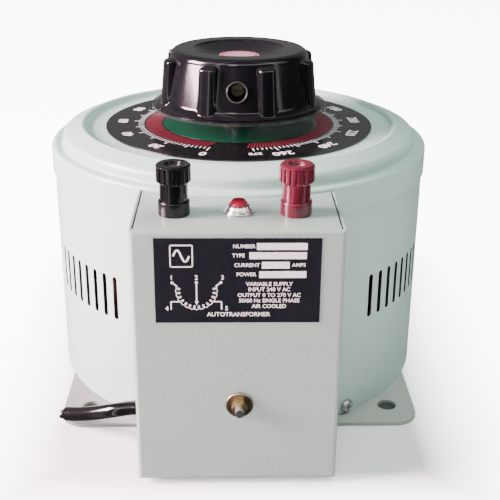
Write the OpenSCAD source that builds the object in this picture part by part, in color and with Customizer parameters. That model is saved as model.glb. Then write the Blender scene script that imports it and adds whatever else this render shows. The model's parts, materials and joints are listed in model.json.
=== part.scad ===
// Bench variable autotransformer: a toroidal winding in a round sheet-steel case,
// with a brush driven by a large knob and a terminal box on the front.
// Origin: on the shaft axis, at the underside of the base plate. +Z up, terminal box towards -Y.

/* [Case] */
// Outside radius of the drum shell
drum_r = 128.7; // [127.5:0.1:128.8]
// Outside radius of the top cover's skirt
cover_r = 130; // [130:0.1:131]
// Height of the joint between drum and cover
seam_z = 146.2; // [144:0.1:150]
// Thickness of the drum and cover sheet
sheet_t = 1.2; // [1:0.1:1.2]
// Width of the base plate
plate_w = 235.4; // [234:0.1:242]
// Depth of the base plate
plate_d = 241; // [238:0.1:244]
// Thickness of the base plate
plate_t = 2.6; // [2.5:0.1:2.8]
// Corner radius of the base plate
plate_corner_r = 15; // [12:1:22]
// Diameter of the four fixing holes
foot_hole_d = 12.5; // [10:0.5:13]
// Spacing of the fixing holes from side to side
foot_pitch_x = 199; // [196:0.5:200]
// Spacing of the fixing holes from front to back
foot_pitch_y = 197.6; // [196:0.2:200]

/* [Louvre slots] */
// Slots in each group
slot_count = 8; // [4:1:10]
// Length of a slot
slot_len = 29.8; // [20:0.1:32]
// Width of a slot
slot_w = 3.6; // [2:0.1:3.8]
// Height of the middle of the slots
slot_z = 83.7; // [70:0.1:90]
// Angle between neighbouring slots
slot_pitch = 4.25; // [3:0.01:4.5]
// Angle of a group's middle from the front or the back
slot_group_angle = 54.4; // [52:0.1:56]
// Angle the slot groups are turned by, seen from above
slot_turn = 1.2; // [-2:0.1:2]

/* [Terminal box] */
// Width of the terminal box
box_w = 116.6; // [112:0.1:118]
// Sideways offset of the terminal box from the shaft axis
box_shift = -2.6; // [-4:0.1:0]
// Distance from the shaft axis to the box's front face
box_reach = 183.5; // [180:0.1:186]
// Height of the box's top face
box_top = 161.9; // [161:0.1:162.5]
// Height of the box's bottom face
box_bottom = 4; // [3.8:0.1:4.5]
// Thickness of the box sheet
box_t = 1.5; // [1.2:0.1:1.5]
// Outside bend radius of the box
bend_r = 2.6; // [2.2:0.1:3.5]

/* [Terminals] */
// Distance between the two binding posts
post_pitch = 67.9; // [64:0.1:70]
// Sideways position of the middle of the pair of posts
post_mid_x = -3.8; // [-5:0.1:-2]
// Distance from the shaft axis to the posts and the lamp
post_reach = 156.4; // [155:0.1:158]
// Diameter of the fluted grip
grip_d = 19.4; // [18:0.1:20]
// Flutes around the grip
flute_count = 18; // [14:1:20]
// Diameter of the plug socket in each post
socket_d = 4; // [3.9:0.05:4.2]
// Length of the plug socket
socket_len = 18; // [14:0.5:18]
// Height of the earth terminal
earth_z = 55.2; // [50:0.1:60]

/* [Dial and knob] */
// Radius of the dial plate
dial_r = 92.6; // [88:0.1:93]
// Radius of the clear pointer disc
disc_r = 60.3; // [58:0.1:64]
// Radius of the knob's foot
knob_foot_r = 57; // [56:0.1:58]
// Radius of the knob body at the bottom
knob_low_r = 52.6; // [51:0.1:53]
// Radius of the knob body at the top
knob_top_r = 46.2; // [45.5:0.1:47]
// Finger ribs around the knob
rib_count = 8; // [6:1:10]
// Height of the knob's underside
knob_z = 187.4; // [186:0.1:189]
// Height of the knob's top
knob_top = 225.2; // [224:0.1:226]
// Turn of the knob body away from the front, towards the left
knob_turn = -2.1; // [-4:0.1:0]
// Radius of the shaft
shaft_r = 6; // [5.5:0.1:6.5]

/* [Coil] */
// Outside radius of the winding
coil_r = 100; // [96:0.5:104]
// Inside radius of the winding
coil_bore_r = 48; // [46:0.5:50]
// Height of the winding's top face
coil_top = 101; // [100:0.5:101.5]
// Radius of the brush's circle
brush_circle_r = 80; // [78:0.5:82]

/* [Travel] */
// Turn of the knob from rest towards more volts
travel_up = 170.95; // [160:0.05:171]
// Turn of the knob from rest towards zero volts
travel_down = 165.2; // [160:0.05:166]

/* [Hidden] */
$fn = 96;
// Overshoot for clean cuts
eps = 0.5;
// Gap between pieces that are fixed together
fit_gap = 0.02;
// Radial clearance between pieces that move on each other
run_gap = 0.05;
// Free gap round a screw, and between stacked pieces that don't touch
screw_gap = 0.1;

// How much fuller a wire and the cable are at their bends
wire_knuckle = 0.3;
cable_knuckle = 0.08;

// Colours
paint = [0.84, 0.86, 0.83];
plate_paint = [0.72, 0.74, 0.72];
bakelite = [0.06, 0.06, 0.07];
post_red = [0.58, 0.10, 0.18];
brass = [0.80, 0.64, 0.32];
copper = [0.62, 0.28, 0.16];
zinc = [0.72, 0.73, 0.74];
alloy = [0.78, 0.79, 0.80];
fibre = [0.55, 0.36, 0.22];
steel = [0.60, 0.61, 0.62];
carbon = [0.16, 0.16, 0.17];
pvc_black = [0.08, 0.08, 0.09];
pvc_red = [0.75, 0.10, 0.10];
pvc_green = [0.10, 0.50, 0.20];
dial_black = [0.10, 0.10, 0.11];
label_black = [0.09, 0.10, 0.11];
phenolic = [0.20, 0.16, 0.12];
grey_rubber = [0.62, 0.58, 0.66];
chrome = [0.85, 0.86, 0.88];
lens_red = [0.50, 0.05, 0.10, 0.9];
lamp_white = [0.90, 0.90, 0.88];
bronze = [0.45, 0.42, 0.30];
cap_pink = [0.86, 0.78, 0.78];
smoked = [0.85, 0.90, 0.88, 0.35];

// Screws: M4 pan head for the case
pan_r = 4.5;
pan_h = 2.6;
pan_top_share = 0.72;
recess_len = 4.4;
recess_w = 0.9;
recess_depth = 1.4;
grub_slot_w = 1.2;
grub_slot_depth = 1.8;
m4_r = 2;
m5_r = 2.5;
m8_r = 4;
lug_w = 16;
lug_t = 2;
lug_h = 12;
lug_angle = 33.3;
lug_gap = 0.3;
lug_angles = [-lug_angle, lug_angle, 180 - lug_angle, 180 + lug_angle];
// How far a wall's hole is cut to each side of it
cut = 5;
drum_screw_z = 7.7;
drum_screw_len = 7;
cover_screw_len = 5;
cover_screw_z = 151;
cover_screw_angles = [110, 160, 200, 250];
frame_screw_angles = [-18, 18];
frame_screw_heights = [45, 105];

// Cover: a skirt, a rounded shoulder, a shallow ledge, a steep brow, a sloping top,
// a ridge and a recessed floor, all tangent to each other
cover_lap = 8;
shoulder_r = 2.8;
shoulder_z = seam_z + 15.1;
ledge_slope = 15;
ledge_r = 1.8;
wall_r = cover_r - 8;
brow_r = 4.05;
brow_z = seam_z + 21.7;
brow_slope = 22;
ridge_r = 3;
ridge_x = wall_r - 13.1;
floor_z = seam_z + 25.8;
drop_angle = 30;
shoulder_x = cover_r - shoulder_r;
shoulder_end = 90 + ledge_slope;
ledge_run = (shoulder_x + (shoulder_r + ledge_r) * cos(shoulder_end) - wall_r - ledge_r)
    / cos(ledge_slope);
ledge_x = wall_r + ledge_r;
ledge_z = shoulder_z + (shoulder_r + ledge_r) * sin(shoulder_end) - ledge_run * sin(ledge_slope);
brow_x = wall_r - brow_r;
brow_end = 90 - brow_slope;
ridge_z = brow_z + (brow_r - ridge_r) * sin(brow_end)
    + (brow_x - ridge_x + (brow_r - ridge_r) * cos(brow_end)) * tan(brow_slope);
hollow_r = (ridge_z + ridge_r * sin(drop_angle) - floor_z) / (1 - sin(drop_angle));
hollow_x = ridge_x - (ridge_r + hollow_r) * cos(drop_angle);

// Dial and bush
dial_t = 0.9;
dial_z = floor_z + dial_t;
bush_r = 12;
bush_flange_r = 15;
bush_flange_t = 1.2;
bush_len = 6;

// Coil, hub and clamp heights
pad_t = 3;
pad_inset = 2;
top_pad_w = 12;
coil_z = plate_t + pad_t;
coil_corner_r = 7;
core_r = 92;
core_bore_r = 56;
wrap_t = 2;
end_ring_t = 2.5;
core_z = coil_z + 8.4;
core_top = coil_top - 8;
coil_arc = 340;
track_w = 20;
track_h = 0.8;
track_arc = 338;
clamp_z = coil_top + pad_t;
clamp_t = 4;
clamp_top = clamp_z + clamp_t;
clamp_r = 66;
hub_flange_r = 44;
hub_flange_t = 6;
hub_r = 22;
hub_bore_r = 10;
hub_screw_circle = 34;
hub_floor = 3;
clamp_screw_circle = 16.5;
clamp_screw_len = 16;
cap_head_h = 5;
cap_head_r = 4.25;
cap_socket_r = 2.3;
window_r = 7;
bearing_len = 20;
low_bearing_z = plate_t + 9;
shaft_z = plate_t + 5;
thrust_t = 1.6;
thrust_r = 11.5;
// Distance from the axis to the flats that the set screws bear on
shaft_flat = shaft_r - 0.4;

// Brush arm: a flat radiator disc with a boss and a rim
arm_z = 119;
arm_t = 3.5;
arm_r = 94;
arm_rim_h = 9;
arm_rim_t = 4;
arm_boss_r = 20;
arm_boss_top = 136;
arm_neck_r = 11;
arm_hole_circle = 58;
arm_hole_r = 11;
arm_screw_z = 129;
brush_w = 8;
brush_l = 14;
brush_h = 13;
brush_z = coil_top + track_h + run_gap;
holder_wall = 2;
spring_t = 0.4;
holder_z = brush_z + 2.5;
brush_angle = 90;

// Collector ring and stops
ring_r = 35;
ring_bore_r = 27;
ring_t = 1.5;
ring_base_t = 2.5;
ring_z = clamp_top + ring_base_t;
contact_r = 2.5;
contact_h = 2.5;
finger_w = 6;
finger_len = 16;
finger_t = 1;
stop_r = 4;
stop_h = 9;
stop_circle = 52;
stop_lug_z = 112;
stop_lug_w = 10;
stop_angle = brush_angle + (travel_down - travel_up) / 2 + 180;
stop_lug_angle = 360 - travel_up - travel_down - 2 * asin(stop_r / stop_circle) - 0.1;

// Box
// The box is drawn from here, inside the drum, and then cut to the drum
box_root = 60;
box_gap = 0.3;
box_x0 = box_shift - box_w / 2;
box_x1 = box_shift + box_w / 2;
seam_gap = 0.9;
frame_t = 1.5;
frame_gap = 0.2;
frame_x0 = box_x0 + box_t + frame_gap;
frame_x1 = box_x1 - box_t - frame_gap;
frame_floor_z = box_bottom + box_t + 0.1;
frame_top = seam_z - 4;
frame_r = drum_r + 0.1;
frame_front = box_reach - 8;
frame_side_front = 150;
wire_hole_r = 11;
wire_hole_z = 120;
cable_r = 4.5;
cable_y = -142;
cable_z = 28;
cable_hole_r = 7;
grommet_lip = 2;
grommet_t = 2;
grommet_wall = 2.5;
grommet_gap = 0.3;
// The inner lip is flat, so it stands off the drum's curved wall
grommet_z = drum_r - sheet_t - grommet_t - 1.1;
band_t = 1.4;
band_w = 6;
band_x = box_x0 + 12;
box_screw_y = -162;
box_screw_x = 44;

// Posts, from the panel upwards
post_base_r = 8.9;
post_base_h = 8.2;
post_cup_r = 8.1;
post_cup_depth = 1.2;
post_spigot_r = 6;
post_edge = 0.5;
post_washer_t = 1;
post_washer_r = 7.25;
post_neck_r = 7.85;
post_cap_z = box_top + post_base_h - post_cup_depth + post_washer_t + 2 * run_gap;
post_grip_z = box_top + 18;
post_top = box_top + 29;
post_insert_r = 5.7;
post_stud_top = post_top - 2;
post_insert_z = post_cap_z + 1;
post_insert_len = post_stud_top - post_cap_z - 3;
grip_taper_h = 1.6;
grip_edge = 0.9;
mouth_depth = 1.2;
mouth_low_r = 4.4;
mouth_r = 5.3;
// Stands in for the thread's depth
thread_gap = 0.3;
flute_r = 0.85;
flute_out = 0.05;
flute_start = 5;
flute_top = post_top - 1.8;
stud_tail = 14;
post_bush_t = 3;
post_nut_af = 13;
post_nut_h = 6;
lamp_nut_af = 16;
lamp_nut_h = 3.9;
panel_z = box_top - box_t;
black_post = [post_mid_x - post_pitch / 2, -post_reach];
red_post = [post_mid_x + post_pitch / 2, -post_reach];
lamp_at = [-1.8, -post_reach + 1.2];
lamp_tail_r = 5.95;
lamp_tail_len = 16;
lamp_body_len = 28;
// Each step of the bezel: height above the panel, its own height, lower and upper radius
bezel_steps = [[0, 1, 8.8, 8.8], [1, 1.4, 8.1, 7.7], [2.4, 2.4, 7.2, 6]];
lens_r = 5;
lens_edge = 1.4;
lens_top = box_top + 7.6;
earth_x = -1.4;
earth_r = 2.45;
earth_reach = 10.5;
earth_head_h = 3.5;
earth_washer_r = 8;
earth_washer_t = 1.2;
earth_washer_edge = 0.8;
earth_nut_h = 4;
earth_af = 8;

// Wiring
strip_count = 5;
strip_pitch = 15;
strip_x = -38;
strip_y = -172;
strip_d = 16;
strip_h = 16;
strip_hole = 6;
// Gap between the strip and the wires that end behind it
strip_gap = 0.4;
strip_z = frame_floor_z + frame_t;
strip_top = strip_z + strip_h;
wire_r = 1.5;
wire_drop_y = 14 - post_reach;
wire_drop_top = panel_z - 5;
wire_bend_z = 60;
// Where the cable's three cores lie in its section: two side by side, one above
core_across = 1.7;
core_low = -1;
core_high = 1.9;
green_route = [[earth_x - 16, -166, earth_z - 8], [earth_x - 5, -173, earth_z]];
lead_r = 1.3;
lead_len = 5;
// Cable path from the clamp inside the box to the cut end at the base plate's corner
cable_path = [[box_x0 + 12, cable_y, cable_z], [box_x0 - 8, cable_y, cable_z],
    [box_x0 - 18, cable_y + 1, 25.5], [box_x0 - 30, cable_y + 7, 20],
    [box_x0 - 42, cable_y + 16, 13.5], [box_x0 - 52, cable_y + 24, plate_t + cable_r + 1.5]];
cable_start = cable_path[0] + [1.6, 0, 0];
cable_end = cable_path[5];
end_dir = (cable_path[5] - cable_path[4]) / norm(cable_path[5] - cable_path[4]);
lead_side = [end_dir[1], -end_dir[0], 0] / norm([end_dir[1], -end_dir[0], 0]);
lead_up = cross(lead_side, end_dir);

// Label
label_w = 90.4;
label_h = 50;
label_t = 0.4;
label_z = 132.8;

// Knob
disc_t = 2;
disc_z = knob_z - disc_t;
knob_flare_z = knob_z + 5.9;
knob_shoulder_r = 4;
knob_rim_r = 30.5;
knob_rim_round = 1.8;
knob_dish_z = knob_top - 6.2;
knob_dish_r = 15;
knob_wall = 8.5;
knob_boss_r = 12;
knob_boss_z = disc_z - 3;
knob_ceiling = knob_dish_z - 4;
rib_r = 5.8;
rib_low_z = knob_z + 3;
rib_high_z = knob_top - 4.8;
rib_low_x = 49.7;
rib_high_x = 46.9;
knob_screw_z = knob_z + 18;
knob_screw_hole_r = 4.9;
knob_screw_face = 44.5;
knob_screw_flare = 47.3;
knob_screw_mouth_r = 8.5;
knob_screw_mouth_h = 6;
hairline_start = 44;
hairline_w = 0.5;
hairline_depth = 0.3;
cap_r = 13.7;

// Point sequences
function arc(x, y, r, from, to, n = 6) =
    [for (i = [0:n]) [x + r * cos(from + (to - from) * i / n), y + r * sin(from + (to - from) * i / n)]];
function reversed(list) = [for (i = [len(list) - 1:-1:0]) list[i]];
function cover_outline(inset) = concat(
    [[cover_r - inset, seam_z]],
    arc(shoulder_x, shoulder_z, shoulder_r - inset, 0, shoulder_end),
    arc(ledge_x, ledge_z, ledge_r + inset, shoulder_end - 180, -180),
    arc(brow_x, brow_z, brow_r - inset, 0, brow_end),
    arc(ridge_x, ridge_z, ridge_r - inset, brow_end, 180 - drop_angle),
    arc(hollow_x, floor_z + hollow_r, hollow_r + inset, -drop_angle, -90),
    [[bush_r + fit_gap, floor_z - inset]]);

// Shared pieces
module ring(r_out, r_in, h) {
    difference() {
        cylinder(r = r_out, h = h);
        translate([0, 0, -eps]) cylinder(r = r_in, h = h + 2 * eps);
    }
}
module around(count, radius, first = 0) {
    for (i = [0:count - 1]) rotate([0, 0, first + i * 360 / count]) translate([radius, 0, 0]) children();
}
// Puts a piece that points up so that it points outwards, at an angle from the front
module outwards(angle, radius, z) {
    rotate([0, 0, angle - 90]) translate([radius, 0, z]) rotate([0, 90, 0]) children();
}
module pan_screw(length) {
    difference() {
        union() {
            cylinder(r = m4_r, h = length);
            translate([0, 0, length]) cylinder(r = pan_r, h = pan_h / 2);
            translate([0, 0, length + pan_h / 2])
                cylinder(r1 = pan_r, r2 = pan_r * pan_top_share, h = pan_h / 2);
        }
        for (a = [0, 90]) rotate([0, 0, a])
            translate([-recess_len / 2, -recess_w / 2, length + pan_h - recess_depth])
                cube([recess_len, recess_w, recess_depth + eps]);
    }
}
module grub_screw(length) {
    difference() {
        cylinder(r = m8_r - fit_gap, h = length);
        translate([-m8_r, -grub_slot_w / 2, length - grub_slot_depth])
            cube([2 * m8_r, grub_slot_w, grub_slot_depth + eps]);
    }
}
module hex_nut(across_flats, bore_r, h) {
    difference() {
        cylinder(r = across_flats / sqrt(3), h = h, $fn = 6);
        translate([0, 0, -eps]) cylinder(r = bore_r, h = h + 2 * eps);
    }
}
// A round wire or cable through a list of points, with a slightly fuller knuckle at each bend
module run(points, r, knuckle = wire_knuckle) {
    for (i = [0:len(points) - 2]) {
        span = points[i + 1] - points[i];
        translate(points[i])
            rotate([0, acos(span[2] / norm(span)), atan2(span[1], span[0])])
                cylinder(r = r, h = norm(span), $fn = 24);
        if (i > 0) translate(points[i]) sphere(r = r + knuckle, $fn = 24);
    }
}

// Case
module base_plate() color(plate_paint) {
    difference() {
        linear_extrude(plate_t) {
            square([plate_w - 2 * plate_corner_r, plate_d], center = true);
            square([plate_w, plate_d - 2 * plate_corner_r], center = true);
            for (x = [-1, 1], y = [-1, 1])
                translate([x * (plate_w / 2 - plate_corner_r), y * (plate_d / 2 - plate_corner_r)])
                    circle(r = plate_corner_r);
        }
        for (x = [-1, 1], y = [-1, 1])
            translate([x * foot_pitch_x / 2, y * foot_pitch_y / 2, -eps])
                cylinder(d = foot_hole_d, h = plate_t + 2 * eps);
        around(4, hub_screw_circle, 45) {
            translate([0, 0, -eps]) cylinder(r = m5_r + screw_gap, h = plate_t + 2 * eps);
            cylinder(r1 = 2 * m5_r, r2 = m5_r + screw_gap, h = m5_r - screw_gap);
        }
    }
    for (a = lug_angles)
        rotate([0, 0, a - 90]) difference() {
            translate([drum_r - sheet_t - lug_t - lug_gap, -lug_w / 2, plate_t]) cube([lug_t, lug_w, lug_h]);
            translate([drum_r - 2 * cut, 0, drum_screw_z]) rotate([0, 90, 0])
                cylinder(r = m4_r + fit_gap, h = 4 * cut);
        }
}
module drum_shell() color(paint) difference() {
    translate([0, 0, plate_t]) ring(drum_r, drum_r - sheet_t, seam_z + cover_lap - plate_t);
    for (side = [0, 180], half = [-1, 1], i = [0:slot_count - 1])
        rotate([0, 0, side + slot_turn - 90 + half * slot_group_angle
            + (i - (slot_count - 1) / 2) * slot_pitch])
            translate([drum_r - cut, 0, slot_z]) {
                straight = slot_len - slot_w;
                translate([0, -slot_w / 2, -straight / 2]) cube([2 * cut, slot_w, straight]);
                for (end = [-1, 1]) translate([0, 0, end * straight / 2])
                    rotate([0, 90, 0]) cylinder(d = slot_w, h = 2 * cut, $fn = 24);
            }
    for (a = lug_angles)
        outwards(a, drum_r - cut, drum_screw_z) cylinder(r = m4_r + fit_gap, h = 2 * cut);
    for (a = cover_screw_angles)
        outwards(a, drum_r - cut, cover_screw_z) cylinder(r = m4_r + fit_gap, h = 2 * cut);
    translate([box_shift, -drum_r + 2 * cut, wire_hole_z]) rotate([90, 0, 0])
        cylinder(r = wire_hole_r + fit_gap, h = 4 * cut);
    for (a = frame_screw_angles, z = frame_screw_heights)
        outwards(a, drum_r - cut, z) cylinder(r = m4_r + fit_gap, h = 2 * cut);
}
module case_screws() color(zinc) {
    for (a = lug_angles)
        outwards(a, drum_r - drum_screw_len, drum_screw_z) pan_screw(drum_screw_len);
    for (a = cover_screw_angles)
        outwards(a, cover_r - cover_screw_len, cover_screw_z) pan_screw(cover_screw_len);
    for (a = frame_screw_angles, z = frame_screw_heights)
        outwards(a, frame_r + frame_t - cover_screw_len, z) pan_screw(cover_screw_len);
    for (x = [-1, 1]) translate([box_shift + x * box_screw_x, box_screw_y, box_bottom + cover_screw_len])
        rotate([180, 0, 0]) pan_screw(cover_screw_len);
}
module top_cover() color(paint) difference() {
    rotate_extrude($fn = 180) polygon(concat(cover_outline(0), reversed(cover_outline(sheet_t))));
    for (a = cover_screw_angles)
        outwards(a, cover_r - cut, cover_screw_z) cylinder(r = m4_r + fit_gap, h = 2 * cut);
}
module dial_plate() color(dial_black)
    translate([0, 0, floor_z]) ring(dial_r, bush_r + fit_gap, dial_t);
module dial_bush() color(brass) difference() {
    union() {
        translate([0, 0, dial_z + bush_flange_t - bush_len - dial_t]) cylinder(r = bush_r, h = bush_len);
        translate([0, 0, dial_z]) cylinder(r = bush_flange_r, h = bush_flange_t);
    }
    translate([0, 0, dial_z - 2 * bush_len]) cylinder(r = shaft_r + run_gap, h = 4 * bush_len);
}

// Terminal box: one folded sheet, open at the rear, bent along the front edges
module front_rounded(width, depth, r) {
    translate([-width / 2, 0]) square([width, depth - r]);
    translate([-width / 2 + r, 0]) square([width - 2 * r, depth]);
    for (x = [-1, 1]) translate([x * (width / 2 - r), depth - r]) circle(r = r);
}
module box_form(inset) {
    height = box_top - box_bottom;
    depth = box_reach - box_root - inset;
    intersection() {
        translate([box_shift, -box_root, box_bottom + inset]) rotate([0, 0, 180])
            linear_extrude(height - 2 * inset) front_rounded(box_w - 2 * inset, depth, bend_r - inset);
        translate([box_x0 + inset, -box_root, (box_top + box_bottom) / 2]) rotate([90, 0, 90])
            linear_extrude(box_w - 2 * inset) rotate([0, 0, 90])
                front_rounded(height - 2 * inset, depth, bend_r - inset);
    }
}
module terminal_box() color(paint) difference() {
    box_form(0);
    box_form(box_t);
    cylinder(r = drum_r + box_gap, h = box_top + eps);
    translate([0, 0, seam_z - box_gap]) cylinder(r = cover_r + box_gap, h = box_top);
    for (x = [box_x0 + box_t, box_x1 - box_t - seam_gap], z = [box_bottom - eps, box_top - box_t - eps])
        translate([x, -box_reach + bend_r + box_gap, z]) cube([seam_gap, box_reach, box_t + 2 * eps]);
    for (p = [black_post, red_post]) translate([p[0], p[1], panel_z - eps])
        cylinder(r = post_spigot_r + fit_gap, h = box_t + 2 * eps);
    translate([lamp_at[0], lamp_at[1], panel_z - eps])
        cylinder(r = lamp_tail_r + fit_gap, h = box_t + 2 * eps);
    translate([earth_x, -box_reach + cut, earth_z]) rotate([90, 0, 0])
        cylinder(r = earth_r + fit_gap, h = 2 * cut);
    translate([box_x0 - eps, cable_y, cable_z]) rotate([0, 90, 0])
        cylinder(r = cable_hole_r + fit_gap, h = box_t + 2 * eps);
    for (x = [-1, 1]) translate([box_shift + x * box_screw_x, box_screw_y, box_bottom - eps])
        cylinder(r = m4_r + fit_gap, h = cut);
}
// Channel that carries the terminal box: curved back, two sides and a floor
module box_frame() color(zinc) difference() {
    union() {
        intersection() {
            translate([0, 0, frame_floor_z]) ring(frame_r + frame_t, frame_r, frame_top - frame_floor_z);
            translate([frame_x0, -box_reach, 0]) cube([frame_x1 - frame_x0, box_reach - box_root, box_top]);
        }
        difference() {
            union() {
                for (x = [frame_x0, frame_x1 - frame_t])
                    translate([x, -frame_side_front, frame_floor_z])
                        cube([frame_t, frame_side_front - box_root, frame_top - frame_floor_z]);
                translate([frame_x0, -frame_front, frame_floor_z])
                    cube([frame_x1 - frame_x0, frame_front - box_root, frame_t]);
            }
            cylinder(r = frame_r, h = box_top);
        }
    }
    translate([box_shift, -drum_r + 2 * cut, wire_hole_z]) rotate([90, 0, 0])
        cylinder(r = wire_hole_r + fit_gap, h = 4 * cut);
    for (x = [-1, 1]) translate([box_shift + x * box_screw_x, box_screw_y, 0])
        cylinder(r = m4_r + fit_gap, h = 4 * cut);
    for (a = frame_screw_angles, z = frame_screw_heights)
        outwards(a, drum_r - cut, z) cylinder(r = m4_r + fit_gap, h = 2 * cut);
    translate([frame_x0 - eps, cable_y, cable_z]) rotate([0, 90, 0])
        cylinder(r = cable_hole_r + grommet_lip + eps, h = cut);
}
module rating_label() color(label_black)
    translate([box_shift - label_w / 2, -box_reach - label_t, label_z - label_h / 2])
        cube([label_w, label_t, label_h]);

// Coil
module toroid_core() color(steel) translate([0, 0, core_z]) ring(core_r, core_bore_r, core_top - core_z);
module core_insulation() color(fibre) {
    for (z = [core_z - end_ring_t - fit_gap, core_top + fit_gap])
        translate([0, 0, z]) ring(core_r + wrap_t, core_bore_r - wrap_t, end_ring_t);
    translate([0, 0, core_z]) ring(core_r + wrap_t, core_r + fit_gap, core_top - core_z);
    translate([0, 0, core_z]) ring(core_bore_r - fit_gap, core_bore_r - wrap_t, core_top - core_z);
}
module winding() color(copper) {
    width = coil_r - coil_bore_r;
    height = coil_top - coil_z;
    rotate([0, 0, -90 + (360 - coil_arc) / 2]) rotate_extrude(angle = coil_arc) difference() {
        union() {
            translate([coil_bore_r + coil_corner_r, coil_z]) square([width - 2 * coil_corner_r, height]);
            translate([coil_bore_r, coil_z + coil_corner_r]) square([width, height - 2 * coil_corner_r]);
            for (x = [coil_bore_r + coil_corner_r, coil_r - coil_corner_r],
                 y = [coil_z + coil_corner_r, coil_top - coil_corner_r])
                translate([x, y]) circle(r = coil_corner_r);
        }
        translate([core_bore_r - wrap_t - fit_gap, core_z - end_ring_t - 2 * fit_gap])
            square([core_r - core_bore_r + 2 * (wrap_t + fit_gap),
                core_top - core_z + 2 * end_ring_t + 4 * fit_gap]);
    }
    rotate([0, 0, -90 + (360 - track_arc) / 2]) rotate_extrude(angle = track_arc)
        translate([brush_circle_r - track_w / 2, coil_top - 1]) square([track_w, track_h + 1]);
}
module coil_pads() color(fibre) {
    translate([0, 0, plate_t]) ring(coil_r - pad_inset, coil_bore_r + pad_inset, pad_t - fit_gap);
    translate([0, 0, coil_top + fit_gap])
        ring(coil_bore_r + 2 * pad_inset + top_pad_w, coil_bore_r + 2 * pad_inset, pad_t - fit_gap);
}
module centre_hub() color(alloy) difference() {
    union() {
        translate([0, 0, plate_t]) cylinder(r = hub_flange_r, h = hub_flange_t);
        translate([0, 0, plate_t]) cylinder(r = hub_r, h = clamp_z - plate_t);
    }
    translate([0, 0, plate_t + hub_floor]) cylinder(r = hub_bore_r, h = clamp_z);
    around(4, hub_screw_circle, 45) translate([0, 0, plate_t - eps])
        cylinder(r = m5_r + fit_gap, h = hub_flange_t + 2 * eps);
    around(4, clamp_screw_circle, 45) translate([0, 0, clamp_top - clamp_screw_len - 2])
        cylinder(r = m5_r + fit_gap, h = clamp_screw_len);
}
module hub_screws() color(zinc) around(4, hub_screw_circle, 45) {
    translate([0, 0, screw_gap])
        cylinder(r1 = 2 * m5_r - 1.5 * screw_gap, r2 = m5_r, h = m5_r - 1.5 * screw_gap);
    translate([0, 0, 2 * screw_gap]) cylinder(r = m5_r, h = plate_t + hub_flange_t - 1);
}
module coil_clamp() color(alloy) difference() {
    translate([0, 0, clamp_z]) cylinder(r = clamp_r, h = clamp_t);
    translate([0, 0, clamp_z - eps]) cylinder(r = hub_bore_r, h = clamp_t + 2 * eps);
    around(4, clamp_screw_circle, 45) translate([0, 0, clamp_z - eps])
        cylinder(r = m5_r + fit_gap, h = clamp_t + 2 * eps);
    around(4, stop_circle - 2, 45) translate([0, 0, clamp_z - eps])
        cylinder(r = window_r, h = clamp_t + 2 * eps);
    rotate([0, 0, stop_angle]) translate([stop_circle, 0, clamp_z - eps])
        cylinder(r = m5_r + fit_gap, h = clamp_t + 2 * eps);
}
module clamp_screws() color(zinc) around(4, clamp_screw_circle, 45) difference() {
    union() {
        translate([0, 0, clamp_top - clamp_screw_len]) cylinder(r = m5_r, h = clamp_screw_len);
        translate([0, 0, clamp_top]) cylinder(r = cap_head_r, h = cap_head_h);
    }
    translate([0, 0, clamp_top + cap_head_h / 2]) cylinder(r = cap_socket_r, h = cap_head_h, $fn = 6);
}

// Rotor
module shaft_bushes() color(brass) for (z = [low_bearing_z, clamp_top - bearing_len])
    translate([0, 0, z]) ring(hub_bore_r - fit_gap, shaft_r + run_gap, bearing_len);
module shaft() color(steel) difference() {
    translate([0, 0, shaft_z]) cylinder(r = shaft_r, h = knob_ceiling - shaft_z - 1);
    for (flat = [[knob_turn, knob_screw_z], [0, arm_screw_z]])
        rotate([0, 0, flat[0]]) translate([-shaft_r, fit_gap - shaft_flat - shaft_r, flat[1] - shaft_r])
            cube([2 * shaft_r, shaft_r, 2 * shaft_r]);
}
module thrust_washer() color(brass) translate([0, 0, clamp_top]) ring(thrust_r, shaft_r + run_gap, thrust_t);
module brush_arm() color(alloy) {
    difference() {
        union() {
            translate([0, 0, arm_z]) cylinder(r = arm_r, h = arm_t);
            translate([0, 0, arm_z]) ring(arm_r, arm_r - arm_rim_t, arm_rim_h);
            translate([0, 0, arm_z - 2]) cylinder(r = arm_boss_r, h = arm_boss_top - arm_z + 2);
            translate([0, 0, clamp_top + thrust_t + run_gap])
                cylinder(r = arm_neck_r, h = arm_z - clamp_top - thrust_t);
            rotate([0, 0, brush_angle - stop_lug_angle / 2]) rotate_extrude(angle = stop_lug_angle)
                translate([stop_circle - stop_lug_w / 2, stop_lug_z])
                    square([stop_lug_w, arm_z - stop_lug_z + 1]);
        }
        cylinder(r = shaft_r + fit_gap, h = 2 * arm_z);
        translate([0, 0, arm_screw_z]) rotate([90, 0, 0]) cylinder(r = m8_r, h = 2 * arm_boss_r);
        around(6, arm_hole_circle, 30) translate([0, 0, arm_z - eps])
            cylinder(r = arm_hole_r, h = arm_t + 2 * eps);
    }
}
module set_screws() color(zinc) {
    translate([0, -shaft_flat, arm_screw_z]) rotate([90, 0, 0]) grub_screw(arm_boss_r - shaft_r);
    rotate([0, 0, knob_turn]) translate([0, -shaft_flat, knob_screw_z]) rotate([90, 0, 0])
        grub_screw(knob_screw_face - shaft_r);
}
module brush_holder() color(brass)
    rotate([0, 0, brush_angle]) translate([brush_circle_r, 0, holder_z]) difference() {
        translate([-brush_l / 2 - holder_wall, -brush_w / 2 - holder_wall, 0])
            cube([brush_l + 2 * holder_wall, brush_w + 2 * holder_wall, arm_z - holder_z]);
        translate([-brush_l / 2 - fit_gap, -brush_w / 2 - fit_gap, -eps])
            cube([brush_l + 2 * fit_gap, brush_w + 2 * fit_gap, arm_z - holder_z + 2 * eps]);
    }
module carbon_brush() color(carbon) rotate([0, 0, brush_angle])
    translate([brush_circle_r - brush_l / 2, -brush_w / 2, brush_z]) cube([brush_l, brush_w, brush_h]);
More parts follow.
